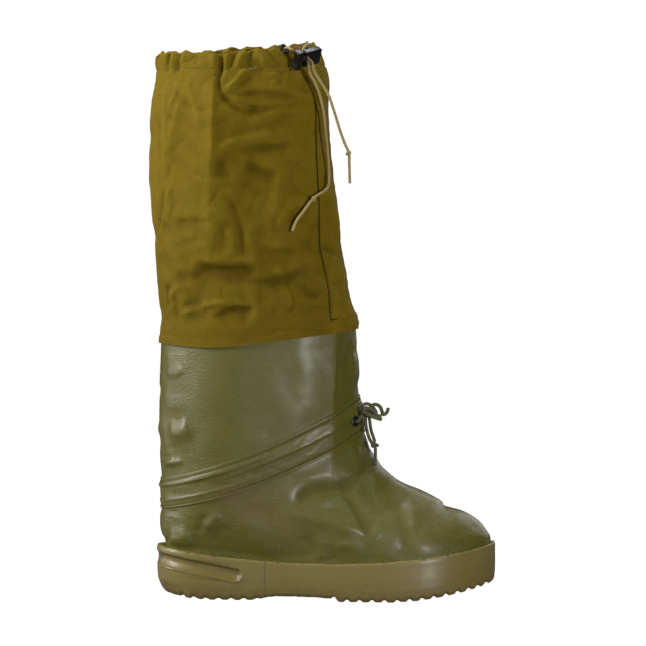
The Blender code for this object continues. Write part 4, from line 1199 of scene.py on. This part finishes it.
class OVERSHOE_OT_drawcord(bpy.types.Operator):
    """Two ends of elastic cord from the collar eyelets, through the lock"""
    bl_idname = "overshoe.drawcord"
    bl_label = "Drawcord"

    def execute(self, context):
        mat = cord_material("drawcord", colour_of("cord_colour"), 1100.0)
        for name, route, knot_at, knot_node in (
                ("drawcord_front", DRAWCORD_FRONT, KNOT_FRONT_AT, "knot_front"),
                ("drawcord_back", DRAWCORD_BACK, KNOT_BACK_AT, "knot_back")):
            grid, line = rope_grid(route, CORD_D)
            made = strand("cord_" + name, grid, mat)
            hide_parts(name)
            near = int(np.argmin(np.linalg.norm(line - np.array(knot_at), axis=1)))
            way = line[near + 1] - line[near - 1]
            knot = overhand_knot("tied_" + knot_node, line[near], way, CORD_D * 0.86,
                                 1.9, mat, knot_node)
        return {"FINISHED"}


class OVERSHOE_OT_lace(bpy.types.Operator):
    """The instep lace: two ends, the bow they are tied in, and the end knot"""
    bl_idname = "overshoe.lace"
    bl_label = "Instep lace"

    def execute(self, context):
        mat = cord_material("lace", colour_of("lace_colour"), 1000.0)
        centre = np.array(BOW_AT)
        strands = []
        for i, (thick, route) in enumerate(BOW_STRANDS):
            grid, _ = rope_grid(np.array(route) + centre, thick, 0.8, 12)
            strands.append(strand("bow_strand_%d" % i, grid, mat))
        bow = joined("tied_bow", strands, ("lace_knot", "lace_ear", "lace_end"))
        end_knot = overhand_knot("tied_end_knot", centre + np.array(END_KNOT_AT),
                                 (0.25, -0.1, -1.0), LACE_D, 2.2, mat,
                                 "lace_end_knot")
        for name, route, nodes, far_end, pieces in (
                ("lace_outer", LACE_OUTER, ("lace_bar", "lace_drop_outer", "lace_tail"),
                 "bare", [bow, end_knot]),
                ("lace_inner", LACE_INNER, ("lace_drop_inner",), "knot", [])):
            grid, line = rope_grid(np.array(route) + centre, LACE_D * 1.1)
            made = strand(name, grid, mat)
            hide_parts(*nodes)
        return {"FINISHED"}


def level_out(ring):
    """Level directions outward from a closed ring of points."""
    along = np.roll(ring[:-1], -1, axis=0) - np.roll(ring[:-1], 1, axis=0)
    out = np.stack((along[:, 1], -along[:, 0], np.zeros(len(along))), axis=1)
    out /= np.linalg.norm(out, axis=1, keepdims=True)
    return np.concatenate((out, out[:1]))


def groove_depth(x):
    """1 in the middle of a tread groove, 0 on the lugs."""
    total = np.zeros_like(x)
    for at, end, reach in LUG_RUNS:
        while at < end:
            away = np.clip(np.abs(x - at) / reach, 0.0, 1.0)
            total = np.maximum(total, 1.0 - ease(away) ** 1.4)
            at += lerp(LUG_PITCH, TOE_PITCH, float(ease((at - TOE_PITCH_X) / 30.0)))
    return total


def side_groove(x):
    """How high the grooves run out through the side."""
    return np.where(x < TREAD_SPLIT_X, HEEL_LUG_SIDE, LUG_SIDE)


def slot_shape(x, z):
    """Depth of the heel's cable slot, the height of its lower lip, and a band of painted shadow
    under its upper edge.
    """
    centre = np.interp(x, SLOT_X, SLOT_Z)
    past = np.maximum(x - SLOT_X[-1], 0.0)
    rise = (z - centre) / SLOT_HALF
    off = np.hypot(rise, past / SLOT_HALF)
    sunk = np.clip(1.0 - off ** 2, 0.0, 1.0) ** 0.45 * lerp(0.62, 1.0, ease(rise + 0.9))
    lip = np.exp(-((off - 1.12) / 0.15) ** 2) * ease(0.6 - rise)
    shade = np.exp(-((rise - 0.86 + 0.2 * past / SLOT_HALF) / 0.20) ** 2) * (past < 5.0)
    return sunk, lip, shade


def sole_wall(base, out, shares):
    """Rows of the sole's wall at shares of its height: points, a tone mark of painted shade and
    highlight, and dust.
    """
    x = base[:, 0]
    low = ground(x)
    top = rim_height(x)
    cut = groove_depth(x)
    heel = 1.0 - ease((x - HEEL_FRONT_X) / 10.0)
    back = ease((HEEL_BACK_X - x) / 24.0)
    spots = np.arange(0, len(x), 4)
    rng = np.random.default_rng(4)
    ragged = np.interp(np.arange(len(x)), spots, rng.normal(size=len(spots)))
    rows = []
    for share in shares:
        inset = np.interp(share, WALL_SHARE, WALL_INSET)
        inset_heel = np.interp(share, WALL_SHARE, WALL_HEEL)
        own = lerp(inset, inset_heel, heel * (back if share < 0.4 else 1.0))
        fade = np.clip(1.0 - share / 0.15, 0.0, 1.0)
        z = lerp(low, top, share) + side_groove(x) * cut * fade
        own = own + 1.2 * cut * fade * (1.0 - 0.5 * fade)
        sunk, lip, shade = slot_shape(x, z)
        beyond = (x < SLOT_FRONT_X) * lerp(1.0, 0.3, ease((SLOT_BACK_X - x) / 5.0))
        own = own + SLOT_DEEP * sunk * beyond - 0.9 * lip * beyond * (z < 40.0)
        seam = np.exp(-((x - MOULD_SEAM_X) / 0.8) ** 2)
        own = own + 0.45 * seam
        z = z + (0.35 * ragged if share > 0.985 else 0.0)
        z = z + 0.25 * np.abs(ragged) * fade
        points = base - out * own[:, None]
        points[:, 2] = z
        # painted shade: the slot's shallow back end darkened as if it ran deep
        painted_end_shade = sunk * ease((SLOT_BACK_X - 0.5 - x) / 2.0)
        # painted shadow in a band under the slot's upper edge
        mark = -1.3 * shade * (x < SLOT_FRONT_X) - 1.4 * painted_end_shade
        # painted highlight on the slot's lower lip, darker along the mould seam, painted shade
        # in the tread grooves
        mark = mark + 0.6 * lip * beyond - 1.0 * seam - 0.5 * cut * fade
        # paler along the rim's top edge
        mark = mark + 0.9 * ease((share - 0.955) / 0.02)
        rows.append((points, mark, 0.75 * (1.0 - share) ** 1.5 + 0.15))
    return rows


def rim_beads(name, spots, size, lift, base, out, mat):
    """Small beads along the rim, at the same places on both of its sides."""
    x = base[:SOLE_HALF + 1, 0]
    crest = base - out * np.interp(0.995, WALL_SHARE, WALL_INSET)
    crest[:, 2] = rim_height(base[:, 0]) - 0.4
    places = []
    for spot in spots:
        at, aside, high = read_at(spot, x, crest[:SOLE_HALF + 1])
        for turn, y in ((1.0, aside), (-1.0, 1.0 - aside)):
            places.append(((at, y, high + lift), (1.0, 0.0, 0.15), (0.0, -turn, 0.3)))
    beads(name, places, size, mat)


class OVERSHOE_OT_sole(bpy.types.Operator):
    """The moulded rubber tub with its tread, cable slot and rim"""
    bl_idname = "overshoe.sole"
    bl_label = "Sole"

    def execute(self, context):
        base = ring_points(SOLE, SOLE_HALF)
        out = level_out(base)
        x = base[:, 0]
        rows, relief, dust = [], [], []

        def add(points, mark=0.0, dusty=0.0):
            rows.append(points)
            relief.append(np.zeros(len(x)) + mark)
            dust.append(np.full(len(x), dusty))

        shares = np.concatenate((np.linspace(0.0, 0.2, 9), np.linspace(0.225, 0.9, 34),
                                 (0.915, 0.93, 0.945, 0.96, 0.97, 0.98, 0.99, 1.0)))
        wall = sole_wall(base, out, shares)
        edge, edge_mark, _ = wall[0]
        middle = 0.5 * (edge + edge[::-1])
        deeper = (LUG_DEEP - side_groove(x)) * groove_depth(x)
        for share in (0.0, 0.2, 0.4, 0.6, 0.78, 0.92):
            points = lerp(middle, edge, share)
            points[:, 2] += deeper * (share < 0.9)
            add(points, edge_mark, 0.6)
        for row in wall:
            add(*row)
        upper = control_rings("upper", SOLE_HALF)
        for share in (1.0, 0.8, 0.5, 0.2, 0.0):
            inner = lerp(upper[0], upper[1], share)
            points = inner + level_out(inner) * COVER
            floor = np.interp(points[:, 0], LEVEL_X, FLOOR_Z)
            points[:, 2] = lerp(floor, rim_height(points[:, 0]), share)
            add(points)
        inner = rows[-1]
        middle = 0.5 * (inner + inner[::-1])
        for share in (0.6, 0.0):
            add(lerp(middle, inner, share))
        made = skin("sole", np.array(rows), sole_rubber(),
                    {"relief": np.array(relief), "dust": np.array(dust)}, sharp=50.0)
        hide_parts("outsole")

        flash = plain_material("rubber flash", (0.34, 0.28, 0.10), 0.6)
        # the pits are drawn as dark beads on the rim: painted shade of small holes
        pit_shade = plain_material("rubber pits", (0.05, 0.035, 0.012), 0.8)
        rim_beads("rim_flash", RIM_FLASH, (0.9, 0.6, 0.9), 0.5, base, out, flash)
        rim_beads("rim_pits", RIM_PITS, (0.8, 0.5, 0.8), 0.2, base, out, pit_shade)
        return {"FINISHED"}


def closed_shell(outer, facing, relief, thickness, inner_rows, roll):
    """Rows of a shell: up the outside, over its top edge, down the inside
    and back to the first row. The inside keeps under the deepest relief near
    each of its points."""
    flat = outward(outer)[-1].copy()
    flat[:, 2] = 0.0
    flat /= np.linalg.norm(flat, axis=1, keepdims=True)
    deepest = relief.copy()
    for shift in range(1, 6):
        deepest[shift:] = np.minimum(deepest[shift:], relief[:-shift])
        deepest[:-shift] = np.minimum(deepest[:-shift], relief[shift:])
    for shift in (1, 2):
        deepest = np.minimum(deepest, np.minimum(np.roll(deepest, shift, axis=1),
                                                 np.roll(deepest, -shift, axis=1)))
    rows = list(outer)
    for angle in np.linspace(0.0, pi, 7)[1:-1]:
        rows.append(outer[-1] - flat * thickness[-1] * 0.5 * (1.0 - np.cos(angle))
                    + np.array((0.0, 0.0, roll)) * np.sin(angle))
    rows.append(outer[-1] - flat * thickness[-1])
    for i in inner_rows:
        down = (relief[i] - deepest[i] + thickness[i])[:, None]
        rows.append(outer[i] - facing[i] * down)
    rows.append(outer[0])
    return np.array(rows)


def padded_marks(values, rows):
    """Marks of a shell: the outer rows' own, then the last row's, faint."""
    extra = np.repeat(values[-1:], rows - len(values), axis=0)
    return np.concatenate((values, extra * 0.3))


UNDER_STRIP = (11.5, 14.5)  # ring rows that the ankle channel hides
UNDER_SHAFT = 16.6          # ring row above which the shaft hides the upper
UPPER_WAVES = ((11, 46.0, 0.55), (12, 14.0, 0.13))      # seed, wavelength, height


def upper_rows():
    return np.concatenate((np.linspace(0.0, 1.0, 5)[:-1], np.linspace(1.0, 12.0, 100)[:-1],
                           np.linspace(12.0, 18.0, 104)))


def upper_skin(half, rows):
    """The folded skin of the upper, its own outward directions and marks."""
    rings = control_rings("upper", half)
    grid = surface(rings, rows)
    facing = outward(grid)
    depth = settings().fold_depth
    relief = fold_relief(grid, facing, UPPER_FOLDS) * depth
    flank = 0.25 + 0.75 * ease(np.abs(facing[..., 1]) / 0.8)
    flank = flank * (1.0 - 0.5 * ease((grid[..., 2] - 150.0) / 50.0))
    relief += waves_of(grid, UPPER_WAVES) * flank
    back = ease((-118.0 - grid[..., 0]) / 30.0)
    crumple = soft_waves(grid * np.array((0.35, 0.35, 1.0)), 13, 9.0)
    relief += 0.5 * back * (1.0 - np.abs(crumple)) * ease(0.5 + 0.6 * soft_waves(grid, 14, 60.0))
    free = ease((rows - 1.02) / 0.9)[:, None]
    hidden = ease((rows - UNDER_STRIP[0]) / 0.5) * ease((UNDER_STRIP[1] - rows) / 0.5)
    hidden = np.maximum(0.86 * hidden, ease((rows - UNDER_SHAFT) / 0.4))
    relief = relief * free * (1.0 - hidden[:, None]) + leg_corner(grid, facing) * depth
    dust = dust_field(grid, facing, UPPER_DUST)
    return grid + facing * relief[..., None], facing, relief, dust


class OVERSHOE_OT_upper(bpy.types.Operator):
    """The coated-cloth foot and leg, one hollow skin with its creases"""
    bl_idname = "overshoe.upper"
    bl_label = "Upper"

    def execute(self, context):
        rows = upper_rows()
        outer, facing, relief, dust = upper_skin(UPPER_HALF, rows)
        thick = np.full(len(rows), CLOTH)
        inside = list(range(len(rows) - 6, 0, -5)) + [0]
        shell = closed_shell(outer, facing, relief, thick, inside, 0.6)
        # its relief mark is the hollows of the folds, which the cloth's material darkens as
        # painted shade
        made = skin("upper_cloth", shell, coated_cloth(),
                    {"relief": padded_marks(hollows(relief) / 2.0, len(shell)),
                     "dust": padded_marks(dust, len(shell))})
        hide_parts("upper")
        return {"FINISHED"}


# Section of the ankle channel from its lower to its upper edge: share of the
# way up, height at the back and height at the front.
CHANNEL_SHARE = (0.00, 0.02, 0.10, 0.17, 0.22, 0.28, 0.34, 0.44, 0.52, 0.57, 0.62, 0.70,
                 0.74, 0.80, 0.86, 0.90, 0.95, 0.98, 1.00)
CHANNEL_BACK = (0.5, 1.0, 0.9, 0.8, 1.1, 1.9, 1.2, 1.1, 1.1, 1.2, 1.3, 1.6, 3.0, 2.6, 2.1,
                1.0, 1.2, 1.0, 0.5)
CHANNEL_FRONT = (0.5, 1.1, 0.8, 1.2, 1.5, 1.5, 1.3, 1.2, 1.5, 3.1, 3.0, 2.5, 2.2, 1.8, 1.3,
                 0.8, 1.2, 1.1, 0.5)
CHANNEL_STITCH = (0.105, 0.885)         # where its stitching runs
CHANNEL_WAVES = ((21, 30.0, 0.30), (22, 9.0, 0.16))     # seed, wavelength, height


def channel_surface(half, shares):
    """Points on top of the channel, with its folds, and their directions."""
    rows = lerp(BAND_ROWS[0], BAND_ROWS[1], 0.03 + 0.94 * np.array(shares))
    rings = control_rings("upper", half)
    grid = surface(rings, rows)
    step = surface(rings, rows + 0.05)
    facing = out_of(grid, step - grid)
    forward = ease((grid[..., 0] + 130.0) / 130.0)
    back = np.interp(shares, CHANNEL_SHARE, CHANNEL_BACK)[:, None]
    front = np.interp(shares, CHANNEL_SHARE, CHANNEL_FRONT)[:, None]
    height = FIT + lerp(back, front, forward)
    middle = np.exp(-((np.array(shares)[:, None] - 0.5) / 0.32) ** 4)
    height = height + middle * waves_of(grid, CHANNEL_WAVES)
    height = height + leg_corner(grid, facing) * settings().fold_depth
    return grid, facing, height


class OVERSHOE_OT_channel(bpy.types.Operator):
    """The strip sewn round the ankle as the lace's tunnel, with its stitches"""
    bl_idname = "overshoe.channel"
    bl_label = "Ankle channel"

    def execute(self, context):
        shares = np.concatenate(((0.0, 0.012), np.linspace(0.03, 0.97, 34), (0.988, 1.0)))
        grid, facing, height = channel_surface(UPPER_HALF, shares)
        stitch = np.zeros_like(height)
        for at in CHANNEL_STITCH:
            beat = np.abs(np.sin(np.arange(height.shape[1]) * pi * 0.72))
            near = np.exp(-((shares[:, None] - at) / 0.022) ** 2)
            stitch -= near * (0.28 + 0.22 * beat[None, :])
        height = height + stitch
        outer = grid + facing * height[..., None]
        inner = grid[::-1] + facing[::-1] * COVER
        rows = np.concatenate((outer, inner, outer[:1]))
        # tone mark: painted shade on the channel's low parts, and darker along the stitch lines
        marks = (height - leg_corner(grid, facing) - 1.6) / 3.0 + stitch * 0.8
        dust = dust_field(grid, facing, UPPER_DUST)
        made = skin("ankle_strip", rows, coated_cloth(),
                    {"relief": padded_marks(marks, len(rows)),
                     "dust": padded_marks(dust, len(rows))})
        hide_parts("ankle_channel")
        thread = plain_material("dark thread", (0.018, 0.018, 0.006), 0.7)
        places = []
        for at in CHANNEL_STITCH:
            line, up, rise = channel_surface(UPPER_HALF, (at - 0.01, at, at + 0.01))
            track = line[1] + up[1] * (rise[1][:, None] - 0.2)
            places.extend(stitches(track[:-1], up[1][:-1], 2.9))
        beads("channel_stitches", places, (0.85, 0.50, 0.40), thread)
        return {"FINISHED"}


def stitches(track, up, pitch):
    """Evenly spaced stitch places along a closed or open track of points."""
    along = run_of(track)
    count = int(along[-1] / pitch)
    at = along[-1] * (np.arange(count) + 0.5) / count
    way = read_at(at + 0.6, along, track) - read_at(at - 0.6, along, track)
    return list(zip(read_at(at, along, track), way, read_at(at, along, up)))


LOWER_HEM_ROW = 0.9         # ring row of the stitching of the shaft's lower hem
COLLAR_ROW = 8.0            # ring row where the collar starts to gather
HEM_STITCH_ROW = 10.02      # ring row of the stitching under the collar's tunnel
TOP_ROW = 12.0              # ring row of the shaft's top edge
GATHERS = (17, 23, 29, 38)  # waves round the collar that its gathers are made of
SHAFT_FOLD_GAIN = 1.55      # loose canvas folds deeper than its table says
# Waves all over the canvas: seed, wavelength and height. Creases run where such
# waves cross zero: seed, wavelength, sharpness and depth.
CANVAS_WAVES = ((32, 62.0, 0.9), (33, 20.0, 0.40))
CANVAS_CREASES = ((35, 52.0, 0.16, 1.1), (36, 30.0, 0.14, 0.5))
DROOP_X = -112.0            # where the shaft's lower edge hangs lowest
# Front seam down the outer side: X at heights, and the thread's two ends.
SEAM_Z = (270, 296, 320, 344, 392, 440, 494)
SEAM_X = (8, 6.6, 2.6, -2.3, -2.9, -5.4, -6.4)
SEAM_FOOT = 260.5
SEAM_TOP = 492.0
SEAM_TACK = (7.0, 4.7, 2.4)             # steps of the thread ahead of its foot
# A thread that has come loose from the collar's stitching.
LOOSE_THREAD_X = -69.0
LOOSE_THREAD = ((-5.0, 0.0, -1.6), (-2.0, -0.6, 0.2), (1.5, -0.8, 0.6), (4.2, -0.6, 2.4))


def shaft_skin(half, rows):
    """The folded canvas skin, its outward directions and relief."""
    rings = control_rings("shaft", half)
    grid = np.array([catmull(rings, row) for row in rows])
    facing = outward(grid)
    depth = settings().fold_depth
    relief = fold_relief(grid, facing, SHAFT_FOLDS) * depth * SHAFT_FOLD_GAIN
    top = ease((rows - COLLAR_ROW) / 2.0)[:, None]
    gathers = np.zeros(grid.shape[:2])
    rng = np.random.default_rng(31)
    around = np.linspace(0.0, 2.0 * pi, grid.shape[1])[None, :]
    drift = 0.25 * np.sin(rows[:, None] * 1.3)
    for count in GATHERS:
        phase = rng.uniform(0.0, 2.0 * pi)
        gathers += np.sin(count * (around + 0.012 * drift * count) + phase)
    gathers = np.sign(gathers) * np.abs(gathers) ** 0.8
    hidden = ease((facing[..., 1] + 0.25) / 0.35)
    gathers *= top * (0.25 + 1.25 * hidden)
    relief += gathers * ease((rows - COLLAR_ROW) / 3.2)[:, None]
    relief += fold_relief(grid, facing, COLLAR_FOLDS) * ease((rows - 8.6) / 1.6)[:, None]
    flank = 0.2 + 0.8 * ease(np.abs(facing[..., 1]) / 0.8)
    relief += waves_of(grid, CANVAS_WAVES) * flank + 0.12 * soft_waves(grid, 34, 7.0)
    for seed, wavelength, sharp, height in CANVAS_CREASES:
        crease = np.exp(-np.abs(soft_waves(grid, seed, wavelength)) / sharp)
        relief -= height * crease * flank
    relief *= ease(rows / 1.2 + 0.12)[:, None]
    relief += 0.55 * ease((0.85 - rows) / 0.2)[:, None] - 0.4 * np.exp(
        -((rows - LOWER_HEM_ROW) / 0.14) ** 2)[:, None]
    relief = lerp(np.maximum(relief, -0.6), relief, ease((rows - 1.2) / 0.8)[:, None])
    relief += leg_corner(grid, facing) * depth
    tunnel = ease((rows - HEM_STITCH_ROW - 0.1) / 0.5)[:, None]
    relief += 0.9 * tunnel
    relief -= 0.9 * np.exp(-((rows - HEM_STITCH_ROW) / 0.08) ** 2)[:, None]
    seam = np.exp(-((grid[..., 0] - seam_x(grid[..., 2])) / 0.9) ** 2) * (facing[..., 1] < 0)
    seam = seam * ease((rows - LOWER_HEM_ROW) / 0.2)[:, None]
    seam = seam * ease((COLLAR_ROW + 0.2 - rows) / 0.6)[:, None]
    relief -= 0.8 * seam
    grid = grid + facing * relief[..., None]
    lobes = 0.9 * np.sin(21 * around + 0.6) + 0.7 * np.sin(34 * around + 2.0)
    grid[..., 2] += (lobes - 3.2) * ease(rows - TOP_ROW + 1.0)[:, None]
    droop = 1.0 + 4.0 * np.exp(-((grid[..., 0] - DROOP_X) / 55.0) ** 2)
    grid[..., 2] -= droop * ease((1.8 - rows) / 1.8)[:, None]
    return grid, facing, relief, seam


def along_row(row, x):
    """The point of a row of the outer side at a place along the boot."""
    return read_at(x, row[:, 0], row)


def seam_x(z):
    """Where the shaft's front seam runs down the outer side."""
    return np.interp(z, SEAM_Z, SEAM_X)


def seam_route(side):
    """Route of the seam's thread over the rows of the shaft's outer side."""
    crossing = np.array([along_row(row, seam_x(row[:, 2].mean())) for row in side])
    order = np.argsort(crossing[:, 2])
    heights = np.linspace(SEAM_FOOT, SEAM_TOP, 92)
    route = read_at(heights, crossing[order, 2], crossing[order])
    foot = side[np.argmin(np.abs(crossing[:, 2] - SEAM_FOOT))]
    tack = [along_row(foot, seam_x(SEAM_FOOT) + step) for step in SEAM_TACK]
    return np.concatenate((tack, route)) + np.array((0.0, -0.1, 0.0))


class OVERSHOE_OT_shaft(bpy.types.Operator):
    """The canvas gaiter with its folds, gathered collar, seam and stitches"""
    bl_idname = "overshoe.shaft"
    bl_label = "Canvas shaft"

    def execute(self, context):
        rows = np.concatenate((np.linspace(0.0, 1.0, 13)[:-1], np.linspace(1.0, 9.0, 112)[:-1],
                               np.linspace(9.0, TOP_ROW, 60)))
        outer, facing, relief, seam = shaft_skin(SHAFT_HALF, rows)
        thick = np.where(rows > HEM_STITCH_ROW, HEM_THICK, CANVAS)
        inside = list(range(len(rows) - 5, len(rows) - 46, -4))
        inside += list(range(len(rows) - 46, 0, -5)) + [0]
        shell = closed_shell(outer, facing, relief, thick, inside, 1.6)
        # tone marks: painted shade in the canvas's hollows, and darker along the front seam
        marks = hollows(relief) / 2.0 - seam * 1.2
        # darker towards the bottom, and less so at the front
        soil = ease((440.0 - outer[..., 2]) / 160.0) * (1.0 - 0.7 * ease(outer[..., 0] / 14.0))
        made = skin("canvas_shaft", shell, canvas_cloth(),
                    {"relief": padded_marks(marks, len(shell)),
                     "soil": padded_marks(soil, len(shell))})
        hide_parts("shaft")

        pale = plain_material("pale thread", (0.42, 0.34, 0.13), 0.7)
        near = np.array((HEM_STITCH_ROW - 0.02, HEM_STITCH_ROW, HEM_STITCH_ROW + 0.02))
        line, up, _, _ = shaft_skin(UPPER_HALF, near)
        beads("collar_stitches", stitches(line[1][:-1], up[1][:-1], 3.4),
              (1.05, 0.30, 0.28), pale)

        dark = plain_material("seam thread", (0.026, 0.011, 0.003), 0.95)
        grid, _ = rope_grid(seam_route(outer[14:-30, :SHAFT_HALF + 1]), 1.0, 1.2, 8)
        strand("shaft_seam_line", grid, dark)
        start = int(np.argmin(np.abs(line[1][:UPPER_HALF + 1, 0] - LOOSE_THREAD_X)))
        tail = line[1][start] + up[1][start] + np.array(LOOSE_THREAD)
        grid, _ = rope_grid(tail, 0.8, 0.8, 8)
        strand("loose_thread", grid, pale)
        return {"FINISHED"}


class OVERSHOE_OT_eyelets(bpy.types.Operator):
    """Four blackened eyelets, turned with a rolled rim"""
    bl_idname = "overshoe.eyelets"
    bl_label = "Eyelets"

    def execute(self, context):
        mat = plain_material("blackened metal", (0.030, 0.031, 0.034), 0.36, metallic=0.7,
                             worn=(0.16, 0.16, 0.17))
        for name, eyelet in (("instep_outer", INSTEP_OUTER), ("instep_inner", INSTEP_INNER),
                             ("collar_back", COLLAR_BACK), ("collar_front", COLLAR_FRONT)):
            bm = bmesh.new()
            verts = [bm.verts.new((radius, 0.0, z)) for radius, z in EYELET_SECTION]
            edges = [bm.edges.new((verts[i - 1], verts[i])) for i in range(len(verts))]
            bmesh.ops.spin(bm, geom=verts + edges, axis=(0, 0, 1), cent=(0, 0, 0),
                           angle=2.0 * pi, steps=40, use_merge=True)
            bmesh.ops.scale(bm, vec=(MM, MM, MM), verts=bm.verts)
            bmesh.ops.transform(bm, matrix=stand_on(eyelet.at, eyelet.facing),
                                verts=bm.verts)
            bmesh.ops.recalc_face_normals(bm, faces=bm.faces)
            made = finish_mesh("ring_" + name, bm, mat, "boot", 40.0)
            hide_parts("eyelet_" + name)
        return {"FINISHED"}


class OVERSHOE_OT_lock(bpy.types.Operator):
    """The cord lock's body and sprung plunger, with softened edges"""
    bl_idname = "overshoe.lock"
    bl_label = "Cord lock"

    def execute(self, context):
        mat = plain_material("moulded black plastic", (0.003, 0.003, 0.004), 0.34,
                             grain=1400.0, depth=0.00012, worn=(0.010, 0.010, 0.011))
        for name, node, body in (("cord_lock_body", "lock_body", "boot"),
                                 ("cord_lock_plunger", "lock_plunger", "plunger")):
            bm = bmesh.new()
            bm.from_mesh(bpy.data.objects[node].data)
            bmesh.ops.remove_doubles(bm, verts=bm.verts, dist=0.00002)
            bmesh.ops.dissolve_limit(bm, angle_limit=radians(3.0), verts=bm.verts,
                                     edges=bm.edges)
            sharp = [edge for edge in bm.edges
                     if len(edge.link_faces) == 2 and edge.calc_face_angle() > radians(25.0)]
            bmesh.ops.bevel(bm, geom=sharp, offset=0.00035, offset_type="OFFSET", segments=2,
                            affect="EDGES", profile=0.5, material=-1, clamp_overlap=True)
            made = finish_mesh(name, bm, mat, body, 45.0)
            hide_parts(node)
        return {"FINISHED"}


class OVERSHOE_OT_insole(bpy.types.Operator):
    """Felt finish for the loose insole"""
    bl_idname = "overshoe.insole"
    bl_label = "Insole"

    def execute(self, context):
        mat = plain_material("felt board", (0.075, 0.066, 0.048), 0.95, grain=500.0,
                             depth=0.0006)
        for slot in bpy.data.objects["insole"].material_slots:
            slot.material = mat
        return {"FINISHED"}


def pale_floor():
    """A pale floor that glows to the camera, so that it meets the surround."""
    made, tree, shader, _ = blank("pale floor", Roughness=0.9, Specular_IOR_Level=0.1,
                                  Base_Color=(0.2, 0.2, 0.2), Emission_Strength=1.0)
    rays = tree.nodes.new("ShaderNodeLightPath")
    glow = mixed(tree, rays.outputs["Is Camera Ray"], (0.0, 0.0, 0.0), (1.0, 1.0, 1.0))
    tree.links.new(glow, shader.inputs["Emission Color"])
    return made


def area_light(name, at, aim, size, power):
    """A soft rectangular light that looks at a point."""
    data = bpy.data.lights.new(name, "AREA")
    data.shape = "RECTANGLE"
    data.size, data.size_y = size
    data.energy = power
    made = bpy.data.objects.new(name, data)
    made.location = at
    way = Vector(aim) - Vector(at)
    made.rotation_euler = way.to_track_quat("-Z", "Y").to_euler()
    bpy.context.scene.collection.objects.link(made)


FLOOR_REACH = 12.0          # the stage is in metres
FLOOR_DROP = 0.0005         # keeps the floor just under the tread
SKY_GLOW = 0.02             # light from the surround, which the camera sees white
# Soft lights: name, place, what they look at, width and height, and watts.
LIGHTS = (
    ("key", (-2.05, -0.57, 1.35), (-0.03, 0.0, 0.35), (0.8, 1.2), 37.0),
    ("right_sheen", (1.05, -2.05, 0.30), (0.0, 0.0, 0.22), (0.4, 0.5), 17.5),
    ("left_edge", (-2.2, 0.35, 0.55), (0.0, 0.0, 0.25), (1.1, 1.6), 8.0),
    ("back_edge", (1.25, 1.80, 1.1), (0.0, 0.0, 0.3), (0.6, 1.4), 5.5),
    ("top", (0.0, 0.25, 2.1), (0.0, 0.0, 0.3), (1.0, 0.8), 15.0),
)


class OVERSHOE_OT_stage(bpy.types.Operator):
    """A plain pale floor, a white surround and soft studio lights"""
    bl_idname = "overshoe.stage"
    bl_label = "Stage"

    def execute(self, context):
        bm = bmesh.new()
        bmesh.ops.create_grid(bm, x_segments=1, y_segments=1, size=FLOOR_REACH)
        mesh = bpy.data.meshes.new("floor")
        bmesh.ops.translate(bm, verts=bm.verts, vec=(0.0, 0.0, -FLOOR_DROP))
        bm.to_mesh(mesh)
        bm.free()
        mesh.materials.append(pale_floor())
        floor = bpy.data.objects.new("floor", mesh)
        context.scene.collection.objects.link(floor)

        world = bpy.data.worlds.new("surround")
        context.scene.world = world
        world.use_nodes = True
        tree = world.node_tree
        sky = tree.nodes["Background"]
        sky.inputs["Color"].default_value = (1.0, 1.0, 1.0, 1.0)
        rays = tree.nodes.new("ShaderNodeLightPath")
        glow = math_node(tree, "ADD", rays.outputs["Is Camera Ray"], SKY_GLOW)
        tree.links.new(glow, sky.inputs["Strength"])

        for light in LIGHTS:
            area_light(*light)
        context.scene.view_settings.view_transform = "Standard"
        return {"FINISHED"}


class OVERSHOE_PT_panel(bpy.types.Panel):
    """Sizes, colours and the steps that build the overshoe"""
    bl_idname = "OVERSHOE_PT_panel"
    bl_label = "Rubber overshoe"
    bl_space_type = "VIEW_3D"
    bl_region_type = "UI"
    bl_category = "Overshoe"

    def draw(self, context):
        column = self.layout.column()
        for name in OvershoeSettings.__annotations__:
            column.prop(settings(), name)
        for step in STEPS:
            column.operator(step.bl_idname)


STEPS = (
    OVERSHOE_OT_camera, OVERSHOE_OT_drawcord, OVERSHOE_OT_lace, OVERSHOE_OT_sole,
    OVERSHOE_OT_upper, OVERSHOE_OT_channel, OVERSHOE_OT_shaft, OVERSHOE_OT_eyelets,
    OVERSHOE_OT_lock, OVERSHOE_OT_insole, OVERSHOE_OT_stage,
)
CLASSES = (OvershoeSettings, *STEPS, OVERSHOE_PT_panel)


def register():
    for cls in CLASSES:
        bpy.utils.register_class(cls)
    bpy.types.Scene.overshoe = PointerProperty(type=OvershoeSettings)


def unregister():
    del bpy.types.Scene.overshoe
    for cls in reversed(CLASSES):
        bpy.utils.unregister_class(cls)


def main():
    register()
    for step in STEPS:
        group, name = step.bl_idname.split(".")
        getattr(getattr(bpy.ops, group), name)()


if __name__ == "__main__":
    main()
